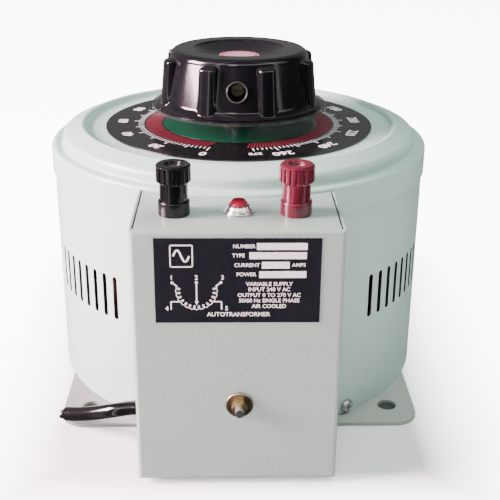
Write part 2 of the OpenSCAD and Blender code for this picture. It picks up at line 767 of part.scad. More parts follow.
module brush_spring() color(steel) {
    rise = arm_z - brush_z - brush_h - 2 * spring_t;
    half_chord = brush_l / 2 - 1;
    spring_r = (rise * rise + half_chord * half_chord) / (2 * rise);
    half_angle = asin(half_chord / spring_r);
    rotate([0, 0, brush_angle]) translate([brush_circle_r, 0, arm_z - fit_gap - spring_r]) rotate([90, 0, 0])
        rotate([0, 0, 90 - half_angle]) rotate_extrude(angle = 2 * half_angle)
            translate([spring_r - spring_t, 1 - brush_w / 2]) square([spring_t, brush_w - 2]);
}
module collector_ring() color(brass) translate([0, 0, ring_z]) ring(ring_r, ring_bore_r, ring_t);
module collector_base() color(fibre)
    translate([0, 0, clamp_top]) ring(ring_r + 2, ring_bore_r - 2, ring_base_t);
module collector_finger() color(brass) {
    contact_z = ring_z + ring_t + run_gap;
    translate([(ring_r + ring_bore_r) / 2, 0, 0]) {
        translate([0, 0, contact_z]) cylinder(r = contact_r, h = contact_h);
        translate([-finger_w / 2, -finger_w / 2, contact_z + contact_h - 0.5])
            cube([finger_w, finger_len, finger_t]);
        translate([-finger_w / 2, finger_len - 1.5 * finger_w, contact_z + contact_h - 0.5])
            cube([finger_w, finger_w, arm_z - contact_z - contact_h + 0.5]);
    }
}
module stop_post() color(zinc) rotate([0, 0, stop_angle]) translate([stop_circle, 0, 0]) {
    translate([0, 0, clamp_top]) cylinder(r = stop_r, h = stop_h);
    translate([0, 0, clamp_z + eps]) cylinder(r = m5_r, h = clamp_t);
}

// Wiring
module terminal_strip() color(phenolic) difference() {
    translate([strip_x, strip_y, strip_z]) cube([strip_count * strip_pitch, strip_d, strip_h]);
    for (i = [0:strip_count - 1])
        translate([strip_x + (i + 0.5) * strip_pitch, strip_y + strip_d / 2, strip_top - strip_hole])
            cylinder(r = m4_r + fit_gap, h = strip_hole + eps);
}
module strip_screws() color(brass) for (i = [0:strip_count - 1])
    translate([strip_x + (i + 0.5) * strip_pitch, strip_y + strip_d / 2, strip_top - strip_hole + 1]) {
        cylinder(r = m4_r, h = strip_hole);
        translate([0, 0, strip_hole - 1 + screw_gap]) cylinder(r = pan_r, h = pan_h);
    }
// Where a wire ends, just behind terminal i of the strip
function strip_at(i) =
    [strip_x + (i + 0.5) * strip_pitch, strip_y + strip_d + wire_r + strip_gap, strip_top - 3];
module lead_stub(across, up) {
    from = cable_end + end_dir * screw_gap + lead_side * across + lead_up * up;
    run([from, from + end_dir * lead_len], lead_r);
}
module red_wires() color(pvc_red) {
    lead_stub(core_across, core_low);
    run([cable_start + [0, core_across, core_low], strip_at(0) + [-3, 8, 2], strip_at(0)], lead_r);
    run([[red_post[0], wire_drop_y, wire_drop_top], [red_post[0], wire_drop_y, wire_bend_z], strip_at(3)],
        wire_r);
    // From the winding, out through the grommet and down to the strip
    drop_to = strip_at(2);
    bend = -drum_r - cut - drop_to[1];
    translate([drop_to[0], -drum_r + 2 * cut, wire_hole_z]) rotate([90, 0, 0])
        cylinder(r = wire_r, h = 3 * cut, $fn = 24);
    translate([drop_to[0], drop_to[1] + bend, wire_hole_z - bend]) rotate([90, 0, 90]) rotate([0, 0, 90])
        rotate_extrude(angle = 90) translate([bend, 0]) circle(r = wire_r, $fn = 24);
    translate(drop_to) cylinder(r = wire_r, h = wire_hole_z - bend - drop_to[2], $fn = 24);
}
module black_wires() color(pvc_black) {
    lead_stub(-core_across, core_low);
    run([cable_start + [0, -core_across, core_low], strip_at(1) + [-8, 3, 8], strip_at(1) + [-2, 0, 0]],
        lead_r);
    run([[black_post[0], wire_drop_y, wire_drop_top], [black_post[0] + 8, wire_drop_y, wire_bend_z + 10],
        strip_at(1) + [3, 0, 0]], wire_r);
}
module green_wires() color(pvc_green) {
    lead_stub(0, core_high);
    run(concat([cable_start + [0, 0, core_high]], green_route), lead_r);
}
module wire_grommet() color(carbon) translate([box_shift, 0, wire_hole_z]) rotate([90, 0, 0]) difference() {
    union() {
        cylinder(r = wire_hole_r - grommet_gap, h = frame_r + frame_t + grommet_t);
        translate([0, 0, grommet_z]) cylinder(r = wire_hole_r + grommet_lip, h = grommet_t);
        translate([0, 0, frame_r + frame_t + screw_gap])
            cylinder(r = wire_hole_r + grommet_lip, h = grommet_t);
    }
    translate([0, 0, -1]) cylinder(r = wire_hole_r - grommet_wall, h = 2 * drum_r);
    translate([0, 0, -1]) cylinder(r = 3 * wire_hole_r, h = grommet_z + 1);
}
module cable_grommet() color(grey_rubber)
    translate([box_x0 - grommet_t, cable_y, cable_z]) rotate([0, 90, 0]) difference() {
        union() {
            cylinder(r = cable_hole_r, h = 2 * grommet_t + box_t);
            for (z = [0, grommet_t + box_t + run_gap]) translate([0, 0, z])
                cylinder(r = cable_hole_r + grommet_lip, h = grommet_t - run_gap);
        }
        translate([0, 0, -1]) cylinder(r = cable_r + fit_gap, h = 2 * cut);
    }
module mains_cable() color(pvc_black) run(cable_path, cable_r, cable_knuckle);
module cable_clamp() color(zinc) translate([band_x - band_w, cable_y, cable_z]) rotate([0, 90, 0]) {
    foot = cable_z - frame_floor_z - frame_t;
    difference() {
        union() {
            cylinder(r = cable_r + band_t, h = band_w);
            translate([0, -band_w / 2, 0]) cube([foot, band_w, band_w]);
        }
        translate([0, 0, -cut]) cylinder(r = cable_r + fit_gap, h = 4 * cut);
    }
}

// Binding posts
module post_base(at) translate([at[0], at[1], box_top]) difference() {
    union() {
        cylinder(r = post_base_r, h = post_base_h - post_edge);
        translate([0, 0, post_base_h - post_edge])
            cylinder(r1 = post_base_r, r2 = post_base_r - post_edge, h = post_edge);
        translate([0, 0, -box_t]) cylinder(r = post_spigot_r, h = box_t + 1);
    }
    translate([0, 0, post_base_h - post_cup_depth]) cylinder(r = post_cup_r, h = cut);
    translate([0, 0, -cut]) cylinder(r = m8_r + fit_gap, h = 4 * cut);
}
module post_washer(at) translate([at[0], at[1], box_top + post_base_h - post_cup_depth + run_gap])
    ring(post_washer_r, m8_r + run_gap, post_washer_t);
module post_insert(at) translate([at[0], at[1], post_insert_z])
    ring(post_insert_r, m8_r + run_gap, post_insert_len);
module post_cap(at) translate([at[0], at[1], 0]) difference() {
    union() {
        translate([0, 0, post_cap_z]) cylinder(r = post_neck_r, h = post_grip_z - post_cap_z + 2);
        translate([0, 0, post_grip_z]) cylinder(r1 = post_neck_r, r2 = grip_d / 2, h = grip_taper_h);
        translate([0, 0, post_grip_z + grip_taper_h])
            cylinder(d = grip_d, h = post_top - post_grip_z - grip_taper_h - grip_edge);
        translate([0, 0, post_top - grip_edge])
            cylinder(r1 = grip_d / 2, r2 = grip_d / 2 - grip_edge, h = grip_edge);
    }
    around(flute_count, grip_d / 2 + flute_out, flute_start) {
        translate([0, 0, post_grip_z - 1]) cylinder(r = flute_r, h = flute_top - post_grip_z + 1, $fn = 24);
        translate([0, 0, flute_top]) sphere(r = flute_r, $fn = 24);
    }
    translate([0, 0, post_cap_z - 1]) cylinder(r = m8_r + thread_gap, h = post_top);
    translate([0, 0, post_insert_z - fit_gap])
        cylinder(r = post_insert_r + fit_gap, h = post_insert_len + fit_gap);
    translate([0, 0, post_top - mouth_depth])
        cylinder(r1 = mouth_low_r, r2 = mouth_r, h = mouth_depth + screw_gap);
}
module black_post_base() color(bakelite) post_base(black_post);
module black_post_washer() color(brass) post_washer(black_post);
module black_post_insert() color(brass) post_insert(black_post);
module black_post_cap() color(bakelite) post_cap(black_post);
module red_post_base() color(post_red) post_base(red_post);
module red_post_washer() color(brass) post_washer(red_post);
module red_post_insert() color(brass) post_insert(red_post);
module red_post_cap() color(post_red) post_cap(red_post);
module post_studs() color(brass) for (p = [black_post, red_post]) translate([p[0], p[1], 0]) difference() {
    translate([0, 0, panel_z - stud_tail]) cylinder(r = m8_r, h = post_stud_top - panel_z + stud_tail);
    translate([0, 0, post_stud_top - socket_len]) cylinder(d = socket_d, h = socket_len + 1);
}
module post_bushes() color(carbon) for (p = [black_post, red_post])
    translate([p[0], p[1], panel_z - post_bush_t]) ring(post_base_r, m8_r + fit_gap, post_bush_t - fit_gap);
module panel_nuts() color(brass) {
    for (p = [black_post, red_post])
        translate([p[0], p[1], panel_z - post_bush_t - eps - post_nut_h])
            hex_nut(post_nut_af, m8_r + fit_gap, post_nut_h);
    translate([lamp_at[0], lamp_at[1], panel_z - screw_gap - lamp_nut_h])
        hex_nut(lamp_nut_af, lamp_tail_r + fit_gap, lamp_nut_h);
}

// Indicator lamp
module lamp_bezel() color(chrome) translate([lamp_at[0], lamp_at[1], box_top]) difference() {
    union() {
        for (step = bezel_steps) translate([0, 0, step[0]]) cylinder(r1 = step[2], r2 = step[3], h = step[1]);
        translate([0, 0, -lamp_tail_len]) cylinder(r = lamp_tail_r, h = lamp_tail_len + 1);
    }
    translate([0, 0, -2 * lamp_tail_len]) cylinder(r = lens_r + fit_gap, h = 4 * lamp_tail_len);
}
module lamp_lens() color(lens_red) translate([lamp_at[0], lamp_at[1], 0]) {
    translate([0, 0, box_top - 2]) cylinder(r = lens_r, h = lens_top - lens_edge - box_top + 2);
    translate([0, 0, lens_top - lens_edge]) cylinder(r1 = lens_r, r2 = lens_r - lens_edge, h = lens_edge);
}
module lamp_body() color(lamp_white)
    translate([lamp_at[0], lamp_at[1], box_top - 2 - lamp_body_len])
        cylinder(r = lens_r, h = lamp_body_len - fit_gap);

// Earth terminal, pointing forwards
module earth_stud() color(zinc) translate([earth_x, -box_reach + box_t, earth_z]) rotate([90, 0, 0]) {
    cylinder(r = earth_r, h = box_t + earth_reach);
    translate([0, 0, -earth_head_h - fit_gap]) cylinder(r = earth_af / sqrt(3), h = earth_head_h, $fn = 6);
    translate([0, 0, -1]) cylinder(r = earth_r, h = 2);
}
module earth_washer() color(bronze)
    translate([earth_x, -box_reach - run_gap, earth_z]) rotate([90, 0, 0]) difference() {
        union() {
            cylinder(r = earth_washer_r, h = earth_washer_t / 2);
            translate([0, 0, earth_washer_t / 2])
                cylinder(r1 = earth_washer_r, r2 = earth_washer_r - earth_washer_edge,
                    h = earth_washer_t / 2);
        }
        translate([0, 0, -1]) cylinder(r = earth_r + run_gap, h = cut);
    }
module earth_nut() color(brass)
    translate([earth_x, -box_reach - 2 * run_gap - earth_washer_t, earth_z]) rotate([90, 0, 0])
        hex_nut(earth_af, earth_r + run_gap, earth_nut_h);

// Knob: a tapered body on a flared foot, with a dished top and finger ribs
module knob_solid() {
    rotate_extrude($fn = 180) polygon(concat(
        [[knob_boss_r, knob_z], [knob_foot_r, knob_z], [knob_foot_r, knob_z + 1], [knob_low_r, knob_flare_z]],
        arc(knob_top_r - knob_shoulder_r, knob_top - knob_shoulder_r, knob_shoulder_r, 5, 90),
        arc(knob_rim_r + knob_rim_round, knob_top - knob_rim_round, knob_rim_round, 90, 150),
        [[knob_dish_r + 3, knob_dish_z + 0.6], [knob_dish_r, knob_dish_z], [0, knob_dish_z],
         [0, knob_boss_z], [knob_boss_r, knob_boss_z]]));
    tilt = atan((rib_low_x - rib_high_x) / (rib_high_z - rib_low_z));
    around(rib_count, rib_low_x, 180 / rib_count) translate([0, 0, rib_low_z]) rotate([0, -tilt, 0])
        cylinder(r = rib_r, h = (rib_high_z - rib_low_z) / cos(tilt));
}
module knob() color(bakelite) rotate([0, 0, knob_turn]) difference() {
    knob_solid();
    difference() {
        translate([0, 0, knob_z - eps])
            cylinder(r1 = knob_low_r - knob_wall, r2 = knob_top_r - knob_wall, h = knob_ceiling - knob_z);
        cylinder(r = knob_boss_r, h = 2 * knob_top);
        translate([0, 0, knob_screw_z]) rotate([90, 0, 0]) cylinder(r = knob_screw_hole_r + 3, h = dial_r);
    }
    translate([0, 0, knob_boss_z - eps]) cylinder(r = shaft_r + fit_gap, h = knob_ceiling - knob_boss_z);
    translate([0, 0, knob_screw_z]) rotate([90, 0, 0]) {
        cylinder(r = m8_r, h = dial_r);
        translate([0, 0, knob_screw_face - 3]) cylinder(r = knob_screw_hole_r, h = 4 * cut);
        translate([0, 0, knob_screw_flare])
            cylinder(r1 = knob_screw_hole_r, r2 = knob_screw_mouth_r, h = knob_screw_mouth_h);
    }
}
module knob_cap() color(cap_pink) translate([0, 0, knob_dish_z]) cylinder(r = cap_r, h = 1);
module pointer_disc() color(smoked) difference() {
    translate([0, 0, disc_z]) ring(disc_r, knob_boss_r + fit_gap, disc_t - fit_gap);
    rotate([0, 0, 90 + knob_turn]) translate([hairline_start, -hairline_w / 2, disc_z - eps])
        cube([disc_r, hairline_w, eps + hairline_depth]);
}

base_plate();
drum_shell();
case_screws();
top_cover();
dial_plate();
dial_bush();
terminal_box();
box_frame();
rating_label();
toroid_core();
core_insulation();
winding();
coil_pads();
centre_hub();
hub_screws();
coil_clamp();
clamp_screws();
shaft_bushes();
shaft();
thrust_washer();
brush_arm();
set_screws();
brush_holder();
carbon_brush();
brush_spring();
collector_ring();
collector_base();
collector_finger();
stop_post();
terminal_strip();
strip_screws();
red_wires();
black_wires();
green_wires();
wire_grommet();
cable_grommet();
mains_cable();
cable_clamp();
black_post_base();
black_post_washer();
black_post_insert();
black_post_cap();
red_post_base();
red_post_washer();
red_post_insert();
red_post_cap();
post_studs();
post_bushes();
panel_nuts();
lamp_bezel();
lamp_lens();
lamp_body();
earth_stud();
earth_washer();
earth_nut();
knob();
knob_cap();
pointer_disc();
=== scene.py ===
"""Looks for the bench variable autotransformer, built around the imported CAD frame. Metres, +Z up."""
import json
import math

import bmesh
import bpy
from mathutils import Matrix, Vector


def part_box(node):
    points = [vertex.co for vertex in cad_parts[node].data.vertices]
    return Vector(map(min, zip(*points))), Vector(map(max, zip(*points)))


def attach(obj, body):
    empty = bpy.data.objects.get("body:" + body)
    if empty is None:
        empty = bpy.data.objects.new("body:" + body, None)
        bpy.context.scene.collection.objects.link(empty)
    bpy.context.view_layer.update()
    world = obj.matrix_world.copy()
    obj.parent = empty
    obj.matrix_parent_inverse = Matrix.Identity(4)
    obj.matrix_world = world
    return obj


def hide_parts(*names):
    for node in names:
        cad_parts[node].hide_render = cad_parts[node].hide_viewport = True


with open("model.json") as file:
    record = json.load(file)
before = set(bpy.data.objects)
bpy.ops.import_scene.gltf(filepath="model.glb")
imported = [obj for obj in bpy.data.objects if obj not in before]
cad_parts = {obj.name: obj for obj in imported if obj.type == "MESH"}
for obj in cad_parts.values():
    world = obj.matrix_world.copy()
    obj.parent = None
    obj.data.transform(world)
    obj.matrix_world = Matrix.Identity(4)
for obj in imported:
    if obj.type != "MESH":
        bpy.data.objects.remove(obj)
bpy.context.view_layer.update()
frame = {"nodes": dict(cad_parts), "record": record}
MM = 0.001
NODES = frame["nodes"]


# ---------------------------------------------------------------- small helpers
def srgb(r, g, b):
    """Linear colour from display values 0-255."""
    def one(v):
        v /= 255
        return v / 12.92 if v <= 0.04045 else ((v + 0.055) / 1.055) ** 2.4
    return (one(r), one(g), one(b), 1.0)


def scaled(colour, k):
    return tuple(min(1.0, c * k) for c in colour[:3]) + (1.0,)


# Heights that hold the drum's ventilation slots, and how softly the band starts and ends, in metres
SLOTS_FROM, SLOTS_TO, SLOTS_FADE = 0.062, 0.105, 0.004


class Graph:
    """A material's node tree with short calls for the nodes used here."""

    def __init__(self, name):
        self.material = bpy.data.materials.new(name)
        self.material.use_nodes = True
        self.tree = self.material.node_tree
        self.surface = self.tree.nodes["Principled BSDF"]
        self.coord = self.add("ShaderNodeTexCoord").outputs["Object"]

    def add(self, kind, **settings):
        made = self.tree.nodes.new(kind)
        for key, value in settings.items():
            setattr(made, key, value)
        return made

    def put(self, socket, value):
        if isinstance(value, bpy.types.NodeSocket):
            self.tree.links.new(value, socket)
        else:
            socket.default_value = value

    def math(self, operation, a, b=0.0, c=0.0):
        made = self.add("ShaderNodeMath", operation=operation)
        for socket, value in zip(made.inputs, (a, b, c)):
            self.put(socket, value)
        return made.outputs[0]

    def noise(self, scale, detail=3.0, rough=0.5, vector=None):
        made = self.add("ShaderNodeTexNoise")
        self.put(made.inputs["Vector"], vector or self.coord)
        made.inputs["Scale"].default_value = scale
        made.inputs["Detail"].default_value = detail
        made.inputs["Roughness"].default_value = rough
        return made.outputs["Fac"]

    def stretched(self, x, y, z):
        made = self.add("ShaderNodeMapping")
        self.put(made.inputs["Vector"], self.coord)
        made.inputs["Scale"].default_value = (x, y, z)
        return made.outputs[0]

    def remap(self, value, low, high, to_low, to_high):
        made = self.add("ShaderNodeMapRange")
        for socket, v in zip(made.inputs, (value, low, high, to_low, to_high)):
            self.put(socket, v)
        return made.outputs[0]

    def mix(self, factor, a, b):
        made = self.add("ShaderNodeMix", data_type="RGBA")
        self.put(made.inputs["Factor"], factor)
        self.put(made.inputs[6], a)
        self.put(made.inputs[7], b)
        return made.outputs[2]

    def bump(self, height, strength, distance, normal=None):
        made = self.add("ShaderNodeBump")
        made.inputs["Strength"].default_value = strength
        made.inputs["Distance"].default_value = distance
        self.put(made.inputs["Height"], height)
        if normal is not None:
            self.put(made.inputs["Normal"], normal)
        return made.outputs[0]

    def edges(self, radius):
        """0 on flat surfaces, rising to 1 at convex and concave edges."""
        rounded = self.add("ShaderNodeBevel", samples=4)
        rounded.inputs["Radius"].default_value = radius
        flat = self.add("ShaderNodeNewGeometry")
        dot = self.add("ShaderNodeVectorMath", operation="DOT_PRODUCT")
        self.put(dot.inputs[0], rounded.outputs[0])
        self.put(dot.inputs[1], flat.outputs["Normal"])
        return self.remap(dot.outputs["Value"], 0.995, 0.88, 0.0, 1.0)

    def component(self, name, vector=None):
        """X, Y or Z of a vector, or of the object coordinates if none is given."""
        made = self.add("ShaderNodeSeparateXYZ")
        self.put(made.inputs[0], vector or self.coord)
        return made.outputs[name]

    def angle(self):
        """Angle about the shaft axis, in radians."""
        return self.math("ARCTAN2", self.component("Y"), self.component("X"))

    def slot_faces(self):
        """1 on slot edges and the drum's inside: faces at the slots' height that don't look outwards, where the
        slots' shade is painted.
        """
        flat_coord = self.add("ShaderNodeVectorMath", operation="MULTIPLY")
        self.put(flat_coord.inputs[0], self.coord)
        flat_coord.inputs[1].default_value = (1.0, 1.0, 0.0)
        outward = self.add("ShaderNodeVectorMath", operation="NORMALIZE")
        self.put(outward.inputs[0], flat_coord.outputs[0])
        face = self.add("ShaderNodeNewGeometry")
        dot = self.add("ShaderNodeVectorMath", operation="DOT_PRODUCT")
        self.put(dot.inputs[0], face.outputs["True Normal"])
        self.put(dot.inputs[1], outward.outputs[0])
        above = self.remap(self.component("Z"), SLOTS_FROM, SLOTS_FROM + SLOTS_FADE, 0.0, 1.0)
        below = self.remap(self.component("Z"), SLOTS_TO - SLOTS_FADE, SLOTS_TO, 1.0, 0.0)
        return self.math("MULTIPLY", self.remap(dot.outputs["Value"], 0.5, 0.7, 1.0, 0.0),
                         self.math("MULTIPLY", above, below))


def finish_graph(name, base, rough, metal=0.0, tone=0.06, patch=25.0, grain=500.0, depth=0.02,
                 strength=0.25, wear=None, wear_r=0.6, wear_amount=0.7, coat=0.0, coat_rough=0.08,
                 spec=0.5, streak=None):
    """Colour patches, uneven roughness, a fine bump and worn edges. Lengths in mm."""
    g = Graph(name)
    large = g.noise(patch, 4.0, 0.6)
    fine = g.noise(grain, 4.0, 0.55)
    colour = g.mix(large, scaled(base, 1 - tone), scaled(base, 1 + tone))
    if streak:
        along = g.noise(streak[1], 2.0, 0.5, g.stretched(*streak[0]))
        colour = g.mix(g.remap(along, 0.35, 0.7, 0.0, streak[2]), colour, scaled(base, 0.72))
        fine = along
    if wear:
        patchy = g.remap(g.noise(180.0, 5.0, 0.7), 0.42, 0.62, 0.0, wear_amount)
        worn = g.math("MULTIPLY", g.edges(wear_r * MM), patchy)
        colour = g.mix(worn, colour, wear)
    g.put(g.surface.inputs["Base Color"], colour)
    g.put(g.surface.inputs["Roughness"], g.remap(large, 0.25, 0.75, max(0.02, rough - 0.05), rough + 0.07))
    g.surface.inputs["Metallic"].default_value = metal
    g.surface.inputs["Specular IOR Level"].default_value = spec
    g.surface.inputs["Coat Weight"].default_value = coat
    g.surface.inputs["Coat Roughness"].default_value = coat_rough
    g.put(g.surface.inputs["Normal"], g.bump(fine, strength, depth * MM))
    return g


def finish(*args, **settings):
    return finish_graph(*args, **settings).material


# ---------------------------------------------------------------- materials, by record slot
def sheet_paint(name, base, rough, chips, slot_painted_shade=False, left_painted_shade=False):
    """Powder coat: orange peel, faint tone patches, grime low down, a few dark specks and chips at edges, with
    optional painted shade towards the left side and in the slots.
    """
    g = Graph(name)
    large = g.noise(9.0, 4.0, 0.6)
    middle = g.noise(60.0, 3.0, 0.5)
    colour = g.mix(large, scaled(base, 0.955), scaled(base, 1.035))
    grime = g.remap(g.component("Z"), 0.0, 0.075, 0.16, 0.0)
    colour = g.mix(g.math("MULTIPLY", grime, g.remap(middle, 0.35, 0.65, 0.2, 1.0)), colour, srgb(120, 112, 98))
    cells = g.add("ShaderNodeTexVoronoi", feature="F1")
    g.put(cells.inputs["Vector"], g.coord)
    cells.inputs["Scale"].default_value = 95.0
    speck = g.remap(cells.outputs["Distance"], 0.035, 0.05, 1.0, 0.0)
    rare = g.remap(g.noise(22.0, 2.0, 0.5), 0.60, 0.64, 0.0, chips)
    colour = g.mix(g.math("MULTIPLY", speck, rare), colour, srgb(92, 86, 78))
    worn = g.math("MULTIPLY", g.edges(0.8 * MM), g.remap(g.noise(150.0, 5.0, 0.7), 0.52, 0.66, 0.0, 0.55))
    colour = g.mix(worn, colour, srgb(122, 120, 114))
    # Painted shade: the colour grows darker towards the left side (negative X).
    if left_painted_shade:
        painted_shade_left = g.remap(g.component("X"), -0.11, -0.03, 0.85, 0.0)
        colour = g.mix(painted_shade_left, colour, scaled(base, 0.55))
    # Painted shade in the slots: their edges and the drum's inside behind them are coloured nearly black.
    if slot_painted_shade:
        colour = g.mix(g.slot_faces(), colour, srgb(34, 20, 20))
    g.put(g.surface.inputs["Base Color"], colour)
    g.put(g.surface.inputs["Roughness"], g.remap(middle, 0.2, 0.8, rough - 0.05, rough + 0.08))
    g.surface.inputs["Coat Weight"].default_value = 0.25
    g.surface.inputs["Coat Roughness"].default_value = 0.18
    peel = g.bump(g.noise(430.0, 2.0, 0.4), 0.7, 0.2 * MM)
    dents = g.bump(g.noise(26.0, 2.0, 0.5), 0.25, 0.25 * MM, peel)
    g.put(g.surface.inputs["Normal"], dents)
    return g.material


def winding_wire():
    """Enamelled wire: fine radial strands about the shaft axis, darker between them, in a dark tint that is painted
    shade of the drum's inside.
    """
    g = Graph("copper_winding")
    strand = g.math("SINE", g.math("MULTIPLY", g.angle(), 420.0))
    # Painted shade: the strands' tint is kept dark, standing in for the shade inside the drum.
    tint = g.mix(g.noise(35.0, 4.0, 0.6), srgb(52, 20, 15), srgb(84, 36, 26))
    colour = g.mix(g.remap(strand, -1.0, 0.2, 0.75, 0.0), tint, srgb(24, 11, 9))
    g.put(g.surface.inputs["Base Color"], colour)
    g.put(g.surface.inputs["Roughness"], g.remap(g.noise(200.0), 0.3, 0.7, 0.25, 0.45))
    g.surface.inputs["Coat Weight"].default_value = 0.4
    g.put(g.surface.inputs["Normal"], g.bump(strand, 0.7, 0.4 * MM))
    return g.material


def clear_plastic(name, tint, edge, see, see_grazing, rough):
    """Clear plastic that lets light through: faces nearly see-through, grazing views brighter, and rims in a
    lighter colour as a painted highlight.
    """
    g = Graph(name)
    facing = g.add("ShaderNodeLayerWeight")
    facing.inputs["Blend"].default_value = 0.35
    geometry = g.add("ShaderNodeNewGeometry")
    upward = g.component("Z", geometry.outputs["True Normal"])
    rim = g.remap(g.math("ABSOLUTE", upward), 0.35, 0.9, 1.0, 0.0)
    haze = g.noise(120.0, 5.0, 0.65)
    # Painted highlight: the rims take the lighter edge colour.
    g.put(g.surface.inputs["Base Color"], g.mix(rim, tint, edge))
    faces = g.remap(facing.outputs["Fresnel"], 0.02, 0.5, see, see_grazing)
    hazy = g.math("ADD", faces, g.remap(haze, 0.45, 0.8, 0.0, 0.08))
    g.put(g.surface.inputs["Alpha"], g.math("MAXIMUM", hazy, g.math("MULTIPLY", rim, 0.22)))
    g.put(g.surface.inputs["Roughness"], g.remap(haze, 0.3, 0.7, rough, rough + 0.08))
    g.surface.inputs["Coat Weight"].default_value = 0.6
    g.surface.inputs["Coat Roughness"].default_value = 0.03
    g.put(g.surface.inputs["Normal"], g.bump(haze, 0.08, 0.02 * MM))
    return g.material


def red_lens():
    """Ribbed translucent lens with a lighter heart."""
    g = Graph("lamp_red")
    depth = g.add("ShaderNodeLayerWeight")
    depth.inputs["Blend"].default_value = 0.4
    colour = g.mix(depth.outputs["Facing"], srgb(196, 24, 66), srgb(92, 4, 30))
    g.put(g.surface.inputs["Base Color"], g.mix(g.noise(300.0), colour, srgb(168, 20, 46)))
    g.surface.inputs["Roughness"].default_value = 0.08
    g.surface.inputs["Transmission Weight"].default_value = 0.35
    g.surface.inputs["Coat Weight"].default_value = 1.0
    g.put(g.surface.inputs["Roughness"], g.remap(g.noise(80.0), 0.3, 0.7, 0.05, 0.15))
    g.put(g.surface.inputs["Normal"], g.bump(g.noise(700.0), 0.15, 0.1 * MM))
    return g.material


PAINT = srgb(173, 204, 190)
# Painted shade: the box's paint is a darker copy of the case paint.
BOX_PAINT_SHADED = srgb(145, 166, 156)
ZINC = srgb(188, 190, 190)
BRASS = srgb(206, 184, 132)
MATERIALS = {
    "case_paint": sheet_paint("case_paint", PAINT, 0.36, 0.75),
    # Painted shade: the plate's grey is set darker than its own colour, and it also takes the painted shade towards
    # the left.
    "plate_paint": sheet_paint("plate_paint", srgb(160, 165, 159), 0.48, 1.0, left_painted_shade=True),
    "zinc_steel": finish("zinc_steel", ZINC, 0.38, metal=1.0, tone=0.1, patch=60, grain=900, depth=0.015,
                         strength=0.2, wear=srgb(120, 116, 108), wear_r=0.3),
    "dial_black": finish("dial_black", srgb(17, 17, 19), 0.16, tone=0.15, patch=40, grain=900,
                         depth=0.004, strength=0.08, wear=srgb(70, 70, 72), wear_r=0.4, coat=0.15),
    "brass_turned": finish("brass_turned", BRASS, 0.36, metal=1.0, tone=0.1, patch=90, grain=1200,
                           strength=0.2, wear=srgb(240, 214, 150), wear_r=0.35,
                           streak=((1, 1, 14), 500, 0.5)),
    "label_black": finish("label_black", srgb(22, 24, 31), 0.22, tone=0.2, patch=50, grain=700,
                          depth=0.01, strength=0.12, wear=srgb(150, 150, 150), wear_r=0.3, coat=0.5),
    "ground_steel": finish("ground_steel", srgb(166, 168, 170), 0.22, metal=1.0, tone=0.08, patch=70,
                           grain=900, depth=0.01, strength=0.2, streak=((1, 1, 30), 300, 0.3)),
    "fibre_board": finish("fibre_board", srgb(150, 104, 66), 0.7, tone=0.15, patch=60, grain=1500,
                          depth=0.06, strength=0.5),
    "copper_winding": winding_wire(),
    "cast_alloy": finish("cast_alloy", srgb(196, 198, 200), 0.38, metal=1.0, patch=60, grain=1100,
                         depth=0.05, strength=0.4),
    "carbon": finish("carbon", srgb(40, 40, 42), 0.6, tone=0.2, patch=90, grain=1800, depth=0.05,
                     strength=0.5),
    "phenolic": finish("phenolic", srgb(52, 36, 26), 0.35, tone=0.15, patch=70, grain=900, strength=0.3),
    "red_pvc": finish("red_pvc", srgb(186, 26, 28), 0.36, tone=0.08, patch=80, grain=900, strength=0.2),
    "black_pvc": finish("black_pvc", srgb(13, 13, 15), 0.17, tone=0.25, patch=60, strength=0.12,
                        coat=0.15),
    "green_pvc": finish("green_pvc", srgb(38, 140, 62), 0.36, tone=0.08, patch=80, grain=900,
                        strength=0.2),
    "black_rubber": finish("black_rubber", srgb(34, 34, 35), 0.6, tone=0.2, patch=60, grain=900,
                           depth=0.05, strength=0.4),
    "grey_rubber": finish("grey_rubber", srgb(166, 156, 178), 0.42, tone=0.08, patch=70, grain=900,
                          depth=0.04, strength=0.3, coat=0.2),
    "black_bakelite": finish("black_bakelite", srgb(15, 15, 18), 0.13, tone=0.2, patch=30, grain=420,
                             strength=0.1, wear=srgb(88, 86, 90), wear_r=0.5, wear_amount=0.35, coat=0.25,
                             coat_rough=0.06, spec=0.35),
    "red_moulding": finish("red_moulding", srgb(86, 8, 33), 0.24, tone=0.12, patch=120, grain=700,
                           depth=0.03, strength=0.2, wear=srgb(214, 104, 126), wear_r=0.35,
                           wear_amount=0.5, coat=0.45),
    "chrome_bezel": finish("chrome_bezel", srgb(232, 232, 236), 0.2, metal=1.0, tone=0.05, patch=120,
                           grain=900, depth=0.01, strength=0.1, wear=srgb(150, 140, 126), wear_r=0.3,
                           wear_amount=0.4),
    "lamp_red": red_lens(),
    "lamp_white": finish("lamp_white", srgb(224, 224, 220), 0.5, tone=0.05, patch=90, grain=900,
                         strength=0.2),
    "bronze_washer": finish("bronze_washer", srgb(160, 148, 130), 0.34, metal=1.0, tone=0.25, patch=160,
                            grain=900, depth=0.03, wear=srgb(214, 206, 180), wear_r=0.3),
    "knob_cap_disc": finish("knob_cap_disc", srgb(176, 136, 150), 0.4, tone=0.08, patch=150, grain=900,
                            depth=0.01, strength=0.1, coat=0.4),
    "clear_disc": clear_plastic("clear_disc", srgb(34, 42, 40), srgb(70, 74, 76), 0.22, 0.75, 0.04),
}
PRINT_WHITE = finish("print_white", srgb(226, 228, 226), 0.45, tone=0.1, patch=260, grain=1500,
                     depth=0.01, strength=0.2)
PRINT_RED = finish("print_red", srgb(104, 24, 40), 0.4, tone=0.12, patch=200, grain=1500, depth=0.01,
                   strength=0.2)
PRINT_GREEN = finish("print_green", srgb(0, 66, 42), 0.34, tone=0.08, patch=60, grain=900, depth=0.01,
                     strength=0.15)
PRINT_PINK = finish("print_pink", srgb(176, 60, 74), 0.4, tone=0.1, patch=200, grain=1500, depth=0.01,
                    strength=0.2)


